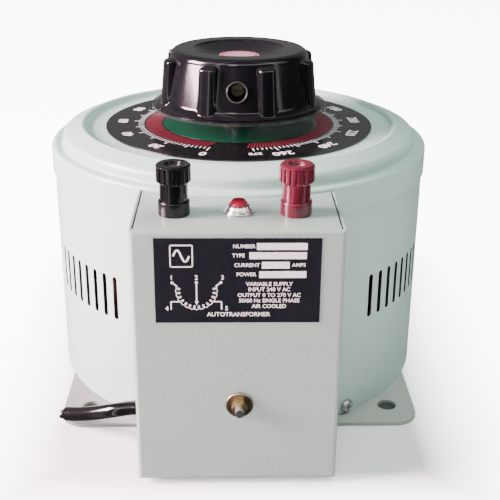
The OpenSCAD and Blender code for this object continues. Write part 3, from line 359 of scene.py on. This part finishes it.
# ---------------------------------------------------------------- CAD nodes: finish and soft edges
def smooth_group():
    """Shades faces smooth and keeps edges sharper than 32 degrees."""
    tree = bpy.data.node_groups.new("smooth_by_angle", "GeometryNodeTree")
    tree.interface.new_socket("Geometry", in_out="INPUT", socket_type="NodeSocketGeometry")
    tree.interface.new_socket("Geometry", in_out="OUTPUT", socket_type="NodeSocketGeometry")
    start, end = tree.nodes.new("NodeGroupInput"), tree.nodes.new("NodeGroupOutput")
    angle = tree.nodes.new("GeometryNodeInputMeshEdgeAngle")
    less = tree.nodes.new("FunctionNodeCompare")
    less.data_type, less.operation = "FLOAT", "LESS_THAN"
    less.inputs[1].default_value = math.radians(32)
    faces = tree.nodes.new("GeometryNodeSetShadeSmooth")
    edges = tree.nodes.new("GeometryNodeSetShadeSmooth")
    edges.domain = "EDGE"
    tree.links.new(start.outputs[0], faces.inputs["Geometry"])
    tree.links.new(faces.outputs[0], edges.inputs["Geometry"])
    tree.links.new(angle.outputs[0], less.inputs[0])
    tree.links.new(less.outputs[0], edges.inputs["Shade Smooth"])
    tree.links.new(edges.outputs[0], end.inputs[0])
    return tree


SMOOTH = smooth_group()
BEVEL_MM = {"top_cover": 0.25, "drum_shell": 0.25, "terminal_box": 0.6, "base_plate": 0.5, "dial_plate": 0.15,
            "rating_label": 0.12, "pointer_disc": 0.5, "earth_nut": 0.3, "black_post_cap": 0.28,
            "red_post_cap": 0.28, "black_post_base": 0.35, "red_post_base": 0.35, "lamp_bezel": 0.25,
            "lamp_lens": 0.5, "knob_cap": 0.3, "red_wires": 0.1, "black_wires": 0.1, "green_wires": 0.1}


def soften(obj, width_mm, weld=True):
    if weld:
        merge = obj.modifiers.new("merge", "WELD")
        merge.merge_threshold = 1e-6
    if width_mm:
        bevel = obj.modifiers.new("edge", "BEVEL")
        bevel.width = width_mm * MM
        bevel.segments = 2
        bevel.limit_method = "ANGLE"
        bevel.angle_limit = math.radians(34)
        bevel.use_clamp_overlap = True
    smooth = obj.modifiers.new("smooth", "NODES")
    smooth.node_group = SMOOTH
    normal = obj.modifiers.new("normals", "WEIGHTED_NORMAL")
    normal.keep_sharp = True


SCREW_DARK = finish("screw_dark", srgb(92, 86, 74), 0.42, metal=0.8, tone=0.25, patch=260, grain=900,
                    depth=0.05, strength=0.5, wear=srgb(150, 140, 120), wear_r=0.3)
POST_BLACK = finish("post_black", srgb(9, 9, 12), 0.22, tone=0.2, patch=60, depth=0.03, strength=0.15,
                    wear=srgb(88, 86, 90), wear_r=0.4, wear_amount=0.35, coat=0.2, coat_rough=0.1,
                    spec=0.35)
NICKEL = finish("nickel", srgb(214, 212, 208), 0.34, metal=1.0, tone=0.08, patch=120, grain=900,
                depth=0.01, strength=0.15)
OWN_FINISH = {"terminal_box": sheet_paint("box_paint_shaded", BOX_PAINT_SHADED, 0.36, 0.75),
              # The drum's paint carries the painted shade in its slots.
              "drum_shell": sheet_paint("drum_paint", PAINT, 0.36, 0.75, True),
              "black_post_cap": POST_BLACK, "black_post_base": POST_BLACK,
              # Painted shade: the dial bush takes the dark screw finish in place of brass, so it stays dark under
              # the knob.
              "set_screws": SCREW_DARK, "dial_bush": SCREW_DARK,
              "black_post_insert": NICKEL, "red_post_insert": NICKEL, "post_studs": NICKEL}
for part in frame["record"]["subparts"]:
    obj = NODES[part["node"]]
    obj.data.materials.clear()
    obj.data.materials.append(OWN_FINISH.get(part["node"]) or MATERIALS[part["material_slot"]])
    if "custom_normal" in obj.data.attributes:
        obj.data.attributes.remove(obj.data.attributes["custom_normal"])
    soften(obj, BEVEL_MM.get(part["node"], 0.15))


# ---------------------------------------------------------------- new pieces
def piece(name, verts, faces, material, body, smooth=True, width_mm=0.0):
    mesh = bpy.data.meshes.new(name)
    mesh.from_pydata([tuple(v) for v in verts], [], faces)
    mesh.update()
    return piece_from(name, mesh, material, body, smooth, width_mm)


def piece_from(name, mesh, material, body, smooth=True, width_mm=0.0):
    obj = bpy.data.objects.new(name, mesh)
    bpy.context.scene.collection.objects.link(obj)
    mesh.materials.clear()
    mesh.materials.append(material)
    if smooth:
        soften(obj, width_mm, weld=False)
    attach(obj, body)
    return obj


def join_rows(rows, closed):
    """Faces between neighbouring rows of vertex numbers. A repeated number makes a triangle."""
    faces, count = [], len(rows[0])
    for low, high in list(zip(rows, rows[1:])) + ([(rows[-1], rows[0])] if closed else []):
        for i in range(count):
            j = (i + 1) % count
            face = list(dict.fromkeys([low[i], low[j], high[j], high[i]]))
            if len(face) > 2:
                faces.append(face)
    return faces


def lathe(profile, count):
    """A profile of (radius, height) turned about the Z axis, closed unless it starts and ends at radius 0."""
    verts, rows = [], []
    for r, z in profile:
        if r == 0:
            rows.append([len(verts)] * count)
            verts.append((0.0, 0.0, z))
        else:
            rows.append(list(range(len(verts), len(verts) + count)))
            for i in range(count):
                a = 2 * math.pi * i / count
                verts.append((r * math.cos(a), r * math.sin(a), z))
    return verts, join_rows(rows, closed=profile[0][0] != 0)


class Prisms:
    """Collects flat printed shapes as thin closed solids in one mesh."""

    def __init__(self, place, thickness):
        self.verts, self.faces, self.place, self.t = [], [], place, thickness

    def add(self, outline):
        n, base = len(outline), len(self.verts)
        for z in (0.0, self.t):
            self.verts += [self.place @ Vector((x, y, z)) for x, y in outline]
        self.faces.append([base + i for i in reversed(range(n))])
        self.faces.append([base + n + i for i in range(n)])
        for i in range(n):
            j = (i + 1) % n
            self.faces.append([base + i, base + j, base + n + j, base + n + i])

    def bar(self, x0, y0, x1, y1):
        self.add([(x0, y0), (x1, y0), (x1, y1), (x0, y1)])

    def line(self, points, width):
        """A stroke along the points, one quad a span."""
        for (x0, y0), (x1, y1) in zip(points, points[1:]):
            length = math.hypot(x1 - x0, y1 - y0)
            nx, ny = -(y1 - y0) / length * width / 2, (x1 - x0) / length * width / 2
            self.add([(x0 - nx, y0 - ny), (x1 - nx, y1 - ny), (x1 + nx, y1 + ny), (x0 + nx, y0 + ny)])


def lettering(items, place, thickness, bold):
    """One mesh from (text, x, y, height, turn) items, laid in the plane given by place."""
    joined = bmesh.new()
    for text, x, y, height, turn in items:
        curve = bpy.data.curves.new("letters", "FONT")
        curve.body = text
        curve.size = height / 0.70
        curve.align_x = "CENTER"
        curve.align_y = "CENTER"
        curve.extrude = thickness / 2
        curve.offset = height * bold
        curve.resolution_u = 3
        holder = bpy.data.objects.new("letters", curve)
        bpy.context.scene.collection.objects.link(holder)
        bpy.context.view_layer.update()
        mesh = bpy.data.meshes.new_from_object(holder.evaluated_get(bpy.context.evaluated_depsgraph_get()))
        mesh.transform(place @ Matrix.Translation((x, y, thickness / 2)) @ Matrix.Rotation(turn, 4, "Z"))
        joined.from_mesh(mesh)
        bpy.data.objects.remove(holder)
        bpy.data.curves.remove(curve)
        bpy.data.meshes.remove(mesh)
    bmesh.ops.remove_doubles(joined, verts=joined.verts, dist=1e-7)
    mesh = bpy.data.meshes.new("letters")
    joined.to_mesh(mesh)
    joined.free()
    return mesh


# ---------------------------------------------------------------- dial printing
DIAL_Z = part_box("dial_plate")[1].z
FLAT_DIAL = Matrix.Translation((0, 0, DIAL_Z))
PRINT = 0.06 * MM
ZERO_DEG, DEG_PER_VOLT, FULL_VOLTS = 16.9, 1.245, 270
# Radii in mm
GREEN_IN, GREEN_OUT, BAND_IN, BAND_OUT, TICK_IN = 15.3, 52.6, 54.4, 65.0, 66.4
# Volts between ticks, outer radius and half width: the first that divides the voltage holds
TICKS = ((20, 73.6, 0.42), (10, 72.4, 0.42), (2, 70.1, 0.30))
STROKES, STROKE_HALF, STROKE_SLANT = 189, math.radians(0.50), math.radians(2.6)
# Radius and letter height of the numerals, and of the last one
NUMERAL, LAST_NUMERAL = (81.0, 6.6), (78.5, 4.2)


def dial_turn(volts):
    """Angle of a scale value, clockwise from the front seen from above."""
    return math.radians(ZERO_DEG + DEG_PER_VOLT * volts)


def on_dial(radius, turn):
    return (-radius * MM * math.sin(turn), -radius * MM * math.cos(turn))


def dial_ticks():
    ticks = Prisms(FLAT_DIAL, PRINT)
    for volts in range(0, FULL_VOLTS + 1, 2):
        turn = dial_turn(volts)
        outer, half = next(size for every, *size in TICKS if volts % every == 0)
        side = Vector((math.cos(turn), -math.sin(turn))) * half * MM
        a, b = Vector(on_dial(TICK_IN, turn)), Vector(on_dial(outer, turn))
        ticks.add([a - side, b - side, b + side, a + side])
    piece("dial_ticks", ticks.verts, ticks.faces, PRINT_WHITE, "root", smooth=False)


def dial_red_band():
    """Slanted red strokes between the pointer disc and the ticks."""
    strokes = Prisms(FLAT_DIAL, PRINT)
    for i in range(STROKES + 1):
        turn = dial_turn(FULL_VOLTS * i / STROKES)
        far = turn + STROKE_SLANT
        strokes.add([on_dial(BAND_IN, turn + STROKE_HALF), on_dial(BAND_IN, turn - STROKE_HALF),
                     on_dial(BAND_OUT, far - STROKE_HALF), on_dial(BAND_OUT, far + STROKE_HALF)])
    piece("dial_red_band", strokes.verts, strokes.faces, PRINT_RED, "root", smooth=False)


def dial_numerals():
    numerals = []
    for volts in list(range(0, 261, 20)) + [FULL_VOLTS]:
        radius, height = LAST_NUMERAL if volts == FULL_VOLTS else NUMERAL
        turn = dial_turn(volts)
        numerals.append((str(volts), *on_dial(radius, turn), height * MM, math.pi - turn))
    letters = lettering(numerals, FLAT_DIAL, PRINT, 0.035)
    piece_from("dial_numerals", letters, PRINT_WHITE, "root", smooth=False)


def printed_ring(name, inner, outer, z, sides, material, body):
    """A flat ring printed at height z, in metres, with its radii in mm."""
    section = [(inner * MM, z), (outer * MM, z), (outer * MM, z + PRINT), (inner * MM, z + PRINT)]
    verts, faces = lathe(section, sides)
    piece(name, verts, faces, material, body, smooth=False)


dial_ticks()
dial_red_band()
dial_numerals()
printed_ring("dial_green_disc", GREEN_IN, GREEN_OUT, DIAL_Z, 180, PRINT_GREEN, "root")

# ---------------------------------------------------------------- rating label printing
low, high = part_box("rating_label")
LABEL_MID = (low + high) / 2
label_place = Matrix.Translation((LABEL_MID.x, low.y, LABEL_MID.z)) @ Matrix.Rotation(math.pi / 2, 4, "X")
INK = 0.05 * MM


def frame_box(ink, x0, y0, x1, y1, width):
    """A rectangular outline in mm."""
    for points in ([(x0, y0), (x1, y0)], [(x1, y0), (x1, y1)], [(x1, y1), (x0, y1)], [(x0, y1), (x0, y0)]):
        (ax, ay), (bx, by) = points
        reach = width / 2
        ink.bar((min(ax, bx) - reach) * MM, (min(ay, by) - reach) * MM,
                (max(ax, bx) + reach) * MM, (max(ay, by) + reach) * MM)


label = Prisms(label_place, INK)
frame_box(label, -36.3, 8.5, -24.4, 21.0, 0.7)
wave = [(-34.7 + 8.6 * i / 24, 14.8 + 3.4 * math.sin(2 * math.pi * i / 24)) for i in range(25)]
label.line([(x * MM, y * MM) for x, y in wave], 1.1 * MM)
# Diagram: a U of coil turns with five taps
COIL_X, COIL_Y, COIL_R, COIL_TURNS, SWING = -22.4, -5.6, 10.2, 14, 1.2
points = []
for i in range(COIL_TURNS * 12 + 1):
    part = i / (COIL_TURNS * 12)
    loop = 2 * math.pi * COIL_TURNS * part
    a = math.pi * (0.92 + 1.16 * part) + 0.1 * math.sin(loop)
    reach = COIL_R + SWING * math.cos(loop)
    points.append(((COIL_X + reach * math.cos(a)) * MM, (COIL_Y + reach * math.sin(a)) * MM))
label.line(points, 0.45 * MM)
for path in ([(-35.6, -0.8), (-32.8, -3.0)], [(-9.2, -0.8), (-12.0, -3.0)], [(COIL_X, -0.8), (COIL_X, -13.2)],
             [(-31.6, -12.2), (-36.4, -12.2), (-36.4, -17.0)], [(-13.2, -12.2), (-8.8, -12.2), (-8.8, -17.0)]):
    label.line([(x * MM, y * MM) for x, y in path], 0.7 * MM)
for x, y in ((-35.6, -0.8), (-9.2, -0.8), (COIL_X, -0.8)):
    label.add([((x + 0.85 * math.cos(math.pi * k / 6)) * MM, (y + 0.85 * math.sin(math.pi * k / 6)) * MM)
               for k in range(12)])
label.add([((COIL_X - 1.1) * MM, -11.9 * MM), (COIL_X * MM, -14.2 * MM), ((COIL_X + 1.1) * MM, -11.9 * MM)])
# Blank fields: left edge, bottom edge, right edge
for x0, y0, x1 in ((10.2, 18.3, 37.4), (6.2, 13.0, 37.1), (13.0, 7.4, 28.0), (11.6, 1.9, 37.1)):
    label.bar(x0 * MM, y0 * MM, x1 * MM, (y0 + 4.0) * MM)
piece("label_print", label.verts, label.faces, PRINT_WHITE, "root", smooth=False)
# Text, middle, height
TEXT = [("1", -35.9, 2.1, 2.6), ("2", COIL_X, 2.1, 2.6), ("3", -8.2, 2.1, 2.6), ("4", -38.7, -16.4, 2.6),
        ("5", -6.0, -16.4, 2.6), ("NUMBER", 3.4, 20.3, 2.15), ("TYPE", 0.4, 15.0, 2.15),
        ("CURRENT", 5.0, 9.4, 2.15), ("AMPS", 33.0, 9.4, 2.15), ("POWER", 4.6, 3.9, 2.15),
        ("VARIABLE SUPPLY", 17.2, -1.8, 2.25), ("INPUT 240 V AC", 17.2, -5.0, 2.25),
        ("OUTPUT 0 TO 270 V AC", 17.2, -8.4, 2.25), ("50/60 Hz SINGLE PHASE", 17.2, -11.7, 2.25),
        ("AIR COOLED", 17.2, -15.1, 2.25), ("AUTOTRANSFORMER", 0.5, -20.0, 2.5)]
piece_from("label_lettering",
           lettering([(t, x * MM, y * MM, h * MM, 0.0) for t, x, y, h in TEXT], label_place, INK, 0.022),
           PRINT_WHITE, "root", smooth=False)

# ---------------------------------------------------------------- knob
KNOB_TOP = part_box("knob")[1].z / MM
KNOB_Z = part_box("pointer_disc")[1].z / MM
KNOB_TURN = math.radians(-2.1)
RIBS = 8
DISH_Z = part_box("knob_cap")[0].z / MM
FLARE_Z = KNOB_Z + 5.4
FOOT_R, BODY_LOW, BODY_TOP = 57.0, 53.0, 46.8
SHOULDER_R = 4.6


def arc(cx, cz, r, start, end, count):
    steps = [math.radians(start + (end - start) * i / count) for i in range(count + 1)]
    return [(cx + r * math.cos(a), cz + r * math.sin(a)) for a in steps]


def body_radius(z):
    """Radius of the knob's side wall: a concave flare into the foot, then a straight taper."""
    wall = BODY_LOW - (BODY_LOW - BODY_TOP) * (z - KNOB_Z - 5.9) / (KNOB_TOP - 4.0 - KNOB_Z - 5.9)
    flare = max(0.0, (FLARE_Z - z) / (FLARE_Z - KNOB_Z - 1.2))
    return wall + (FOOT_R - BODY_LOW - 0.7) * flare ** 1.8


def rib_radius(along, z):
    """Outer radius of a rib at a distance along the wall from its middle."""
    centre = 49.4 - 2.8 * (z - KNOB_Z - 3.0) / (KNOB_TOP - 7.8 - KNOB_Z)
    top = max(0.0, (z - (KNOB_TOP - 7.6)) / 3.4)
    fall = (abs(along) / 6.2) ** 4.2 + top ** 2.6
    return centre + 6.4 * (1 - fall) ** (1 / 2.8) if fall < 1 else 0.0


def smooth_max(a, b, k):
    h = max(k - abs(a - b), 0.0) / k
    return max(a, b) + h * h * k / 4


def knob_mesh():
    side = [KNOB_Z + 1.2 + (KNOB_TOP - SHOULDER_R - KNOB_Z - 1.2) * (i / 90) for i in range(91)]
    rows = [(FOOT_R - 0.7, KNOB_Z, False), (FOOT_R - 0.2, KNOB_Z + 0.2, False), (FOOT_R, KNOB_Z + 0.7, False)]
    rows += [(body_radius(z), z, True) for z in side]
    top_r = body_radius(side[-1]) - SHOULDER_R
    rows += [(r, z, True) for r, z in arc(top_r, KNOB_TOP - SHOULDER_R, SHOULDER_R, 6, 90, 10)]
    rows += [(r, z, False) for r, z in arc(32.3, KNOB_TOP - 2.2, 2.2, 88, 152, 6)]
    rows += [(26.0, DISH_Z + 3.2, False), (21.0, DISH_Z + 1.2, False), (17.0, DISH_Z + 0.35, False),
             (14.6, DISH_Z, False), (13.9, DISH_Z, False), (0, DISH_Z, False)]
    under = [(0, DISH_Z - 4.2, False), (6.03, DISH_Z - 4.2, False), (6.03, KNOB_Z - 5.0, False),
             (11.7, KNOB_Z - 5.0, False), (12.0, KNOB_Z - 4.7, False), (12.0, KNOB_Z + 14.0, False),
             (12.4, DISH_Z - 5.0, False), (38.0, DISH_Z - 4.6, False), (42.6, KNOB_Z + 1.0, False),
             (43.0, KNOB_Z, False)]
    rows = under + rows
    turns, half = [], math.pi / RIBS
    for i in range(RIBS):
        for s in range(40):
            u = s / 40 * 2 - 1
            turns.append(math.pi / RIBS + i * 2 * half + half * (0.55 * u + 0.45 * u ** 3))
    verts, index = [], []
    for r, z, ribbed in rows:
        if r == 0:
            index.append([len(verts)] * len(turns))
            verts.append((0, 0, z * MM))
            continue
        index.append(list(range(len(verts), len(verts) + len(turns))))
        for a in turns:
            off = (a - half) % (2 * half)
            along = (off if off < half else off - 2 * half) * 49.5
            radius = smooth_max(r, rib_radius(along, z), 0.7) if ribbed else r
            verts.append((radius * MM * math.cos(a + KNOB_TURN), radius * MM * math.sin(a + KNOB_TURN), z * MM))
    return verts, join_rows(index, closed=False)


verts, faces = knob_mesh()
knob = piece("knob_body", verts, faces, MATERIALS["black_bakelite"], "rotor")
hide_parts("knob")
SCREW_Z = KNOB_Z + 18.0
RIM_OUT, RIM_TILT = body_radius(SCREW_Z) + 0.05, math.radians(12.9)
KNOB_FRAME = Matrix.Rotation(KNOB_TURN, 4, "Z")
# The set screw's recess: radius, and distance from the shaft axis
RECESS = [(0, 41.5), (4.9, 41.5), (4.9, 46.9), (5.3, 47.5), (6.1, 48.6), (6.75, 49.6), (6.9, 60.0), (0, 60.0)]
recess, recess_faces = lathe(RECESS, 64)
screw_axis = KNOB_FRAME @ Matrix.Translation((0, 0, SCREW_Z * MM)) @ Matrix.Rotation(math.pi / 2, 4, "X")
cutter_mesh = bpy.data.meshes.new("recess")
cutter_mesh.from_pydata([screw_axis @ (Vector(v) * MM) for v in recess], [], recess_faces)
cutter = bpy.data.objects.new("recess", cutter_mesh)
bpy.context.scene.collection.objects.link(cutter)


def apply_cut(target, tool):
    """Cuts tool out of target for good, and removes tool."""
    kept = [(m.name, m.type) for m in target.modifiers]
    cut = target.modifiers.new("cut", "BOOLEAN")
    cut.operation, cut.object, cut.solver = "DIFFERENCE", tool, "EXACT"
    for m in list(target.modifiers):
        if (m.name, m.type) in kept:
            m.show_viewport = False
    bpy.context.view_layer.update()
    shape = bpy.data.meshes.new_from_object(target.evaluated_get(bpy.context.evaluated_depsgraph_get()))
    target.modifiers.remove(cut)
    for m in target.modifiers:
        m.show_viewport = True
    old = target.data
    target.data = shape
    bpy.data.meshes.remove(old)
    bpy.data.objects.remove(tool)


for mesh in (knob.data, cutter_mesh):
    tidy = bmesh.new()
    tidy.from_mesh(mesh)
    bmesh.ops.recalc_face_normals(tidy, faces=tidy.faces)
    tidy.to_mesh(mesh)
    tidy.free()
apply_cut(knob, cutter)

# Rounded rim of the set screw's recess, a lighter grey than the knob as a painted highlight, with a dull shine
RIM_PAINTED_HIGHLIGHT = finish("knob_rim", srgb(40, 38, 40), 0.36, tone=0.2, patch=200, grain=900, strength=0.15, coat=0.1)
RIM_R, RIM_THICK = 6.5, 0.62
RIM_ANGLES = [t * math.pi / 6 for t in range(12)]
rim_section = [(RIM_R + RIM_THICK * math.cos(t), RIM_THICK * math.sin(t)) for t in RIM_ANGLES]
verts, faces = lathe(rim_section, 72)
rim_place = Matrix.Translation((0, -RIM_OUT * MM, SCREW_Z * MM)) @ Matrix.Rotation(math.pi / 2 - RIM_TILT, 4, "X")
piece("knob_screw_rim", [KNOB_FRAME @ rim_place @ (Vector(v) * MM) for v in verts], faces, RIM_PAINTED_HIGHLIGHT, "rotor")

# Printed ring on the disc in the knob's dish
printed_ring("knob_cap_ring", 10.6, 12.6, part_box("knob_cap")[1].z, 96, PRINT_PINK, "rotor")

# Hairline in the pointer disc's groove
disc_low, disc_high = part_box("pointer_disc")
hair = Prisms(Matrix.Rotation(math.pi + KNOB_TURN, 4, "Z") @ Matrix.Translation((0, 0, disc_low.z)), 0.28 * MM)
hair.bar(-0.22 * MM, -61.4 * MM, 0.22 * MM, -44.2 * MM)
piece("pointer_hairline", hair.verts, hair.faces, PRINT_WHITE, "rotor", smooth=False)

# ---------------------------------------------------------------- mains lead
BOX_X0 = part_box("terminal_box")[0].x / MM
LEAD = [Vector(p) for p in ((BOX_X0 + 12, -142, 28), (BOX_X0 - 2, -142, 28), (BOX_X0 - 8, -142, 27.8),
                            (BOX_X0 - 18, -141, 25.5), (BOX_X0 - 30, -135, 20), (BOX_X0 - 42, -126, 13.5),
                            (BOX_X0 - 52, -118, 8.6))]


def spline(points, steps):
    out = []
    padded = [points[0] * 2 - points[1]] + points + [points[-1] * 2 - points[-2]]
    for i in range(1, len(padded) - 2):
        p0, p1, p2, p3 = padded[i - 1:i + 3]
        for s in range(steps):
            t = s / steps
            out.append(0.5 * (2 * p1 + (p2 - p0) * t + (2 * p0 - 5 * p1 + 4 * p2 - p3) * t * t
                              + (3 * p1 - p0 - 3 * p2 + p3) * t ** 3))
    return out + [points[-1]]


END_RING = 0.4


def tube(points, radius, sides):
    """A capped tube. A ring a little inside each end's edge keeps the shading of the flat ends clean."""
    path = spline(points, 10)
    rings, verts, faces = [], [], []
    for i, p in enumerate(path):
        tangent = (path[min(i + 1, len(path) - 1)] - path[max(i - 1, 0)]).normalized()
        side = tangent.cross(Vector((0, 0, 1))).normalized()
        rings.append((p, side, side.cross(tangent), radius))
    first, last = rings[0], rings[-1]
    rings = [first[:3] + (radius - END_RING,)] + rings + [last[:3] + (radius - END_RING,)]
    for p, a, b, r in rings:
        for s in range(sides):
            t = 2 * math.pi * s / sides
            verts.append((p + a * r * math.cos(t) + b * r * math.sin(t)) * MM)
    for i in range(len(rings) - 1):
        for s in range(sides):
            n = (s + 1) % sides
            faces.append([i * sides + s, i * sides + n, (i + 1) * sides + n, (i + 1) * sides + s])
    faces.append(list(reversed(range(sides))))
    faces.append([(len(rings) - 1) * sides + s for s in range(sides)])
    return verts, faces


verts, faces = tube(LEAD, 4.5, 36)
lead = piece("mains_lead", verts, faces, MATERIALS["black_pvc"], "root")
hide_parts("mains_cable")

# ---------------------------------------------------------------- stage, light and camera
FLOOR_GLOW = 9.0
# Ground around the plate and box that doesn't glow: middle in y, half width, extra half depth, end of the fade
SHADE_Y, SHADE_HALF, SHADE_EXTRA, SHADE_END = -0.03, 0.112, 0.03, 0.19
# Half width of the painted shadow square under the base plate, which shows through its holes, and where it has
# faded out
PLATE_SHADOW_HALF, PLATE_SHADOW_END = 0.105, 0.112


def floor_paper():
    """White paper that glows to the camera away from the object, with a painted shadow under the base plate."""
    g = finish_graph("floor_paper", srgb(244, 244, 243), 0.75, tone=0.01, patch=3, grain=200, strength=0.05)
    away_x = g.math("ABSOLUTE", g.component("X"))
    away_y = g.math("ABSOLUTE", g.math("SUBTRACT", g.component("Y"), SHADE_Y))
    away = g.math("MAXIMUM", away_x, g.math("SUBTRACT", away_y, SHADE_EXTRA))
    glow = g.remap(away, SHADE_HALF, SHADE_END, 0.0, FLOOR_GLOW)
    # Painted shadow: the floor turns dark inside the base plate's footprint.
    square = g.math("MAXIMUM", away_x, g.math("ABSOLUTE", g.component("Y")))
    plate_shadow = g.remap(square, PLATE_SHADOW_HALF, PLATE_SHADOW_END, 1.0, 0.0)
    paper = g.surface.inputs["Base Color"].links[0].from_socket
    g.put(g.surface.inputs["Base Color"], g.mix(plate_shadow, paper, srgb(66, 72, 68)))
    seen = g.add("ShaderNodeLightPath").outputs["Is Camera Ray"]
    g.surface.inputs["Emission Color"].default_value = (1.0, 1.0, 1.0, 1.0)
    g.put(g.surface.inputs["Emission Strength"], g.math("MULTIPLY", glow, seen))
    g.surface.inputs["Specular IOR Level"].default_value = 0.1
    return g.material


floor_mesh = bpy.data.meshes.new("floor")
floor_mesh.from_pydata([(-6, -6, 0), (6, -6, 0), (6, 6, 0), (-6, 6, 0)], [], [(0, 1, 2, 3)])
floor = bpy.data.objects.new("floor", floor_mesh)
floor_mesh.materials.append(floor_paper())
bpy.context.scene.collection.objects.link(floor)
floor.visible_glossy = False


def area_light(name, place, target, size, watts, colour, mirrored=True):
    """A soft rectangular lamp. One that isn't mirrored lights surfaces but leaves no highlight."""
    data = bpy.data.lights.new(name, "AREA")
    data.shape, data.size, data.size_y = "RECTANGLE", size[0], size[1]
    data.energy, data.color = watts, colour
    obj = bpy.data.objects.new(name, data)
    obj.location = place
    obj.visible_glossy = mirrored
    obj.rotation_mode = "QUATERNION"
    obj.rotation_quaternion = (Vector(target) - Vector(place)).to_track_quat("-Z", "Y")
    bpy.context.scene.collection.objects.link(obj)


area_light("key", (-1.45, -0.30, 0.72), (0, 0, 0.11), (0.7, 0.7), 215, (1.0, 0.69, 0.77))
area_light("front", (-0.35, -1.7, 1.1), (0, 0, 0.1), (0.4, 0.8), 5, (1.0, 0.98, 0.97))
area_light("side", (1.5, -0.4, 0.8), (0, 0, 0.1), (0.7, 0.7), 1.5, (0.78, 1.0, 0.92))
area_light("top", (0.6, 0.2, 1.5), (0, 0, 0.15), (0.9, 0.9), 22, (0.90, 1.0, 0.96), False)


WORLD_FILL, WORLD_SEEN = 0.40, 9.0
# Reflections: an even low level, overhead light, a level strip in front, and upright cards, each with its
# centre, half width and soft edge in degrees and its level
REFLECT_BASE, REFLECT_TOP, REFLECT_STRIP = 0.035, 0.05, 3.0
REFLECT_CARDS = ((-158, 5, 7, 0.5), (-127, 2, 3, 3.0), (-28, 2, 3, 1.8), (90, 40, 25, 0.2))


def studio_world():
    """White to the eye and an even fill, but mostly dark in reflections, with a few soft bright cards."""
    world = bpy.data.worlds.new("studio")
    world.use_nodes = True
    tree = world.node_tree
    link = tree.links.new

    def math_node(operation, a, b=None, clamp=False):
        made = tree.nodes.new("ShaderNodeMath")
        made.operation, made.use_clamp = operation, clamp
        for socket, value in zip(made.inputs, (a, b)):
            if isinstance(value, bpy.types.NodeSocket):
                link(value, socket)
            elif value is not None:
                socket.default_value = value
        return made.outputs[0]

    def mix_node(factor, a, b):
        made = tree.nodes.new("ShaderNodeMix")
        link(factor, made.inputs["Factor"])
        for socket, value in ((made.inputs["A"], a), (made.inputs["B"], b)):
            if isinstance(value, bpy.types.NodeSocket):
                link(value, socket)
            else:
                socket.default_value = value
        return made.outputs["Result"]

    coord = tree.nodes.new("ShaderNodeTexCoord")
    split = tree.nodes.new("ShaderNodeSeparateXYZ")
    link(coord.outputs["Generated"], split.inputs[0])
    turn = math_node("ARCTAN2", split.outputs["Y"], split.outputs["X"])
    total = REFLECT_BASE
    for centre, half, soft, level in REFLECT_CARDS:
        away = math_node("ABSOLUTE", math_node("SUBTRACT", turn, math.radians(centre)))
        band = math_node("DIVIDE", math_node("SUBTRACT", math.radians(half + soft), away), math.radians(soft), True)
        total = math_node("ADD", total, math_node("MULTIPLY", band, level))
    over = math_node("DIVIDE", math_node("SUBTRACT", split.outputs["Z"], 0.42), 0.08, True)
    under = math_node("DIVIDE", math_node("SUBTRACT", 0.74, split.outputs["Z"]), 0.08, True)
    front = math_node("MULTIPLY", split.outputs["Y"], -3.0, True)
    strip = math_node("MULTIPLY", math_node("MULTIPLY", over, under), front)
    total = math_node("ADD", total, math_node("MULTIPLY", strip, REFLECT_STRIP))
    above = math_node("DIVIDE", math_node("SUBTRACT", split.outputs["Z"], 0.55), 0.3, True)
    total = math_node("ADD", total, math_node("MULTIPLY", above, REFLECT_TOP))
    path = tree.nodes.new("ShaderNodeLightPath")
    indirect = mix_node(path.outputs["Is Glossy Ray"], WORLD_FILL, total)
    background = tree.nodes["Background"]
    link(mix_node(path.outputs["Is Camera Ray"], indirect, WORLD_SEEN), background.inputs["Strength"])
    background.inputs["Color"].default_value = (1.0, 1.0, 1.0, 1.0)
    return world


bpy.context.scene.world = studio_world()

PITCH, YAW, ROLL = math.radians(22.35), math.radians(1.42), math.radians(0.46)
forward = Vector((math.sin(YAW) * math.cos(PITCH), math.cos(YAW) * math.cos(PITCH), -math.sin(PITCH)))
right = Vector((math.cos(YAW), -math.sin(YAW), 0))
up = right.cross(forward)
camera_x = right * math.cos(ROLL) + up * math.sin(ROLL)
camera_y = -right * math.sin(ROLL) + up * math.cos(ROLL)
camera_data = bpy.data.cameras.new("camera")
camera_data.lens, camera_data.sensor_width = 69.03, 36.0
camera_data.clip_start, camera_data.clip_end = 0.05, 20.0
camera = bpy.data.objects.new("camera", camera_data)
camera.matrix_world = Matrix.Translation((-0.00783, -0.65801, 0.34609)) @ Matrix(
    (camera_x, camera_y, -forward)).transposed().to_4x4()
bpy.context.scene.collection.objects.link(camera)
bpy.context.scene.camera = camera
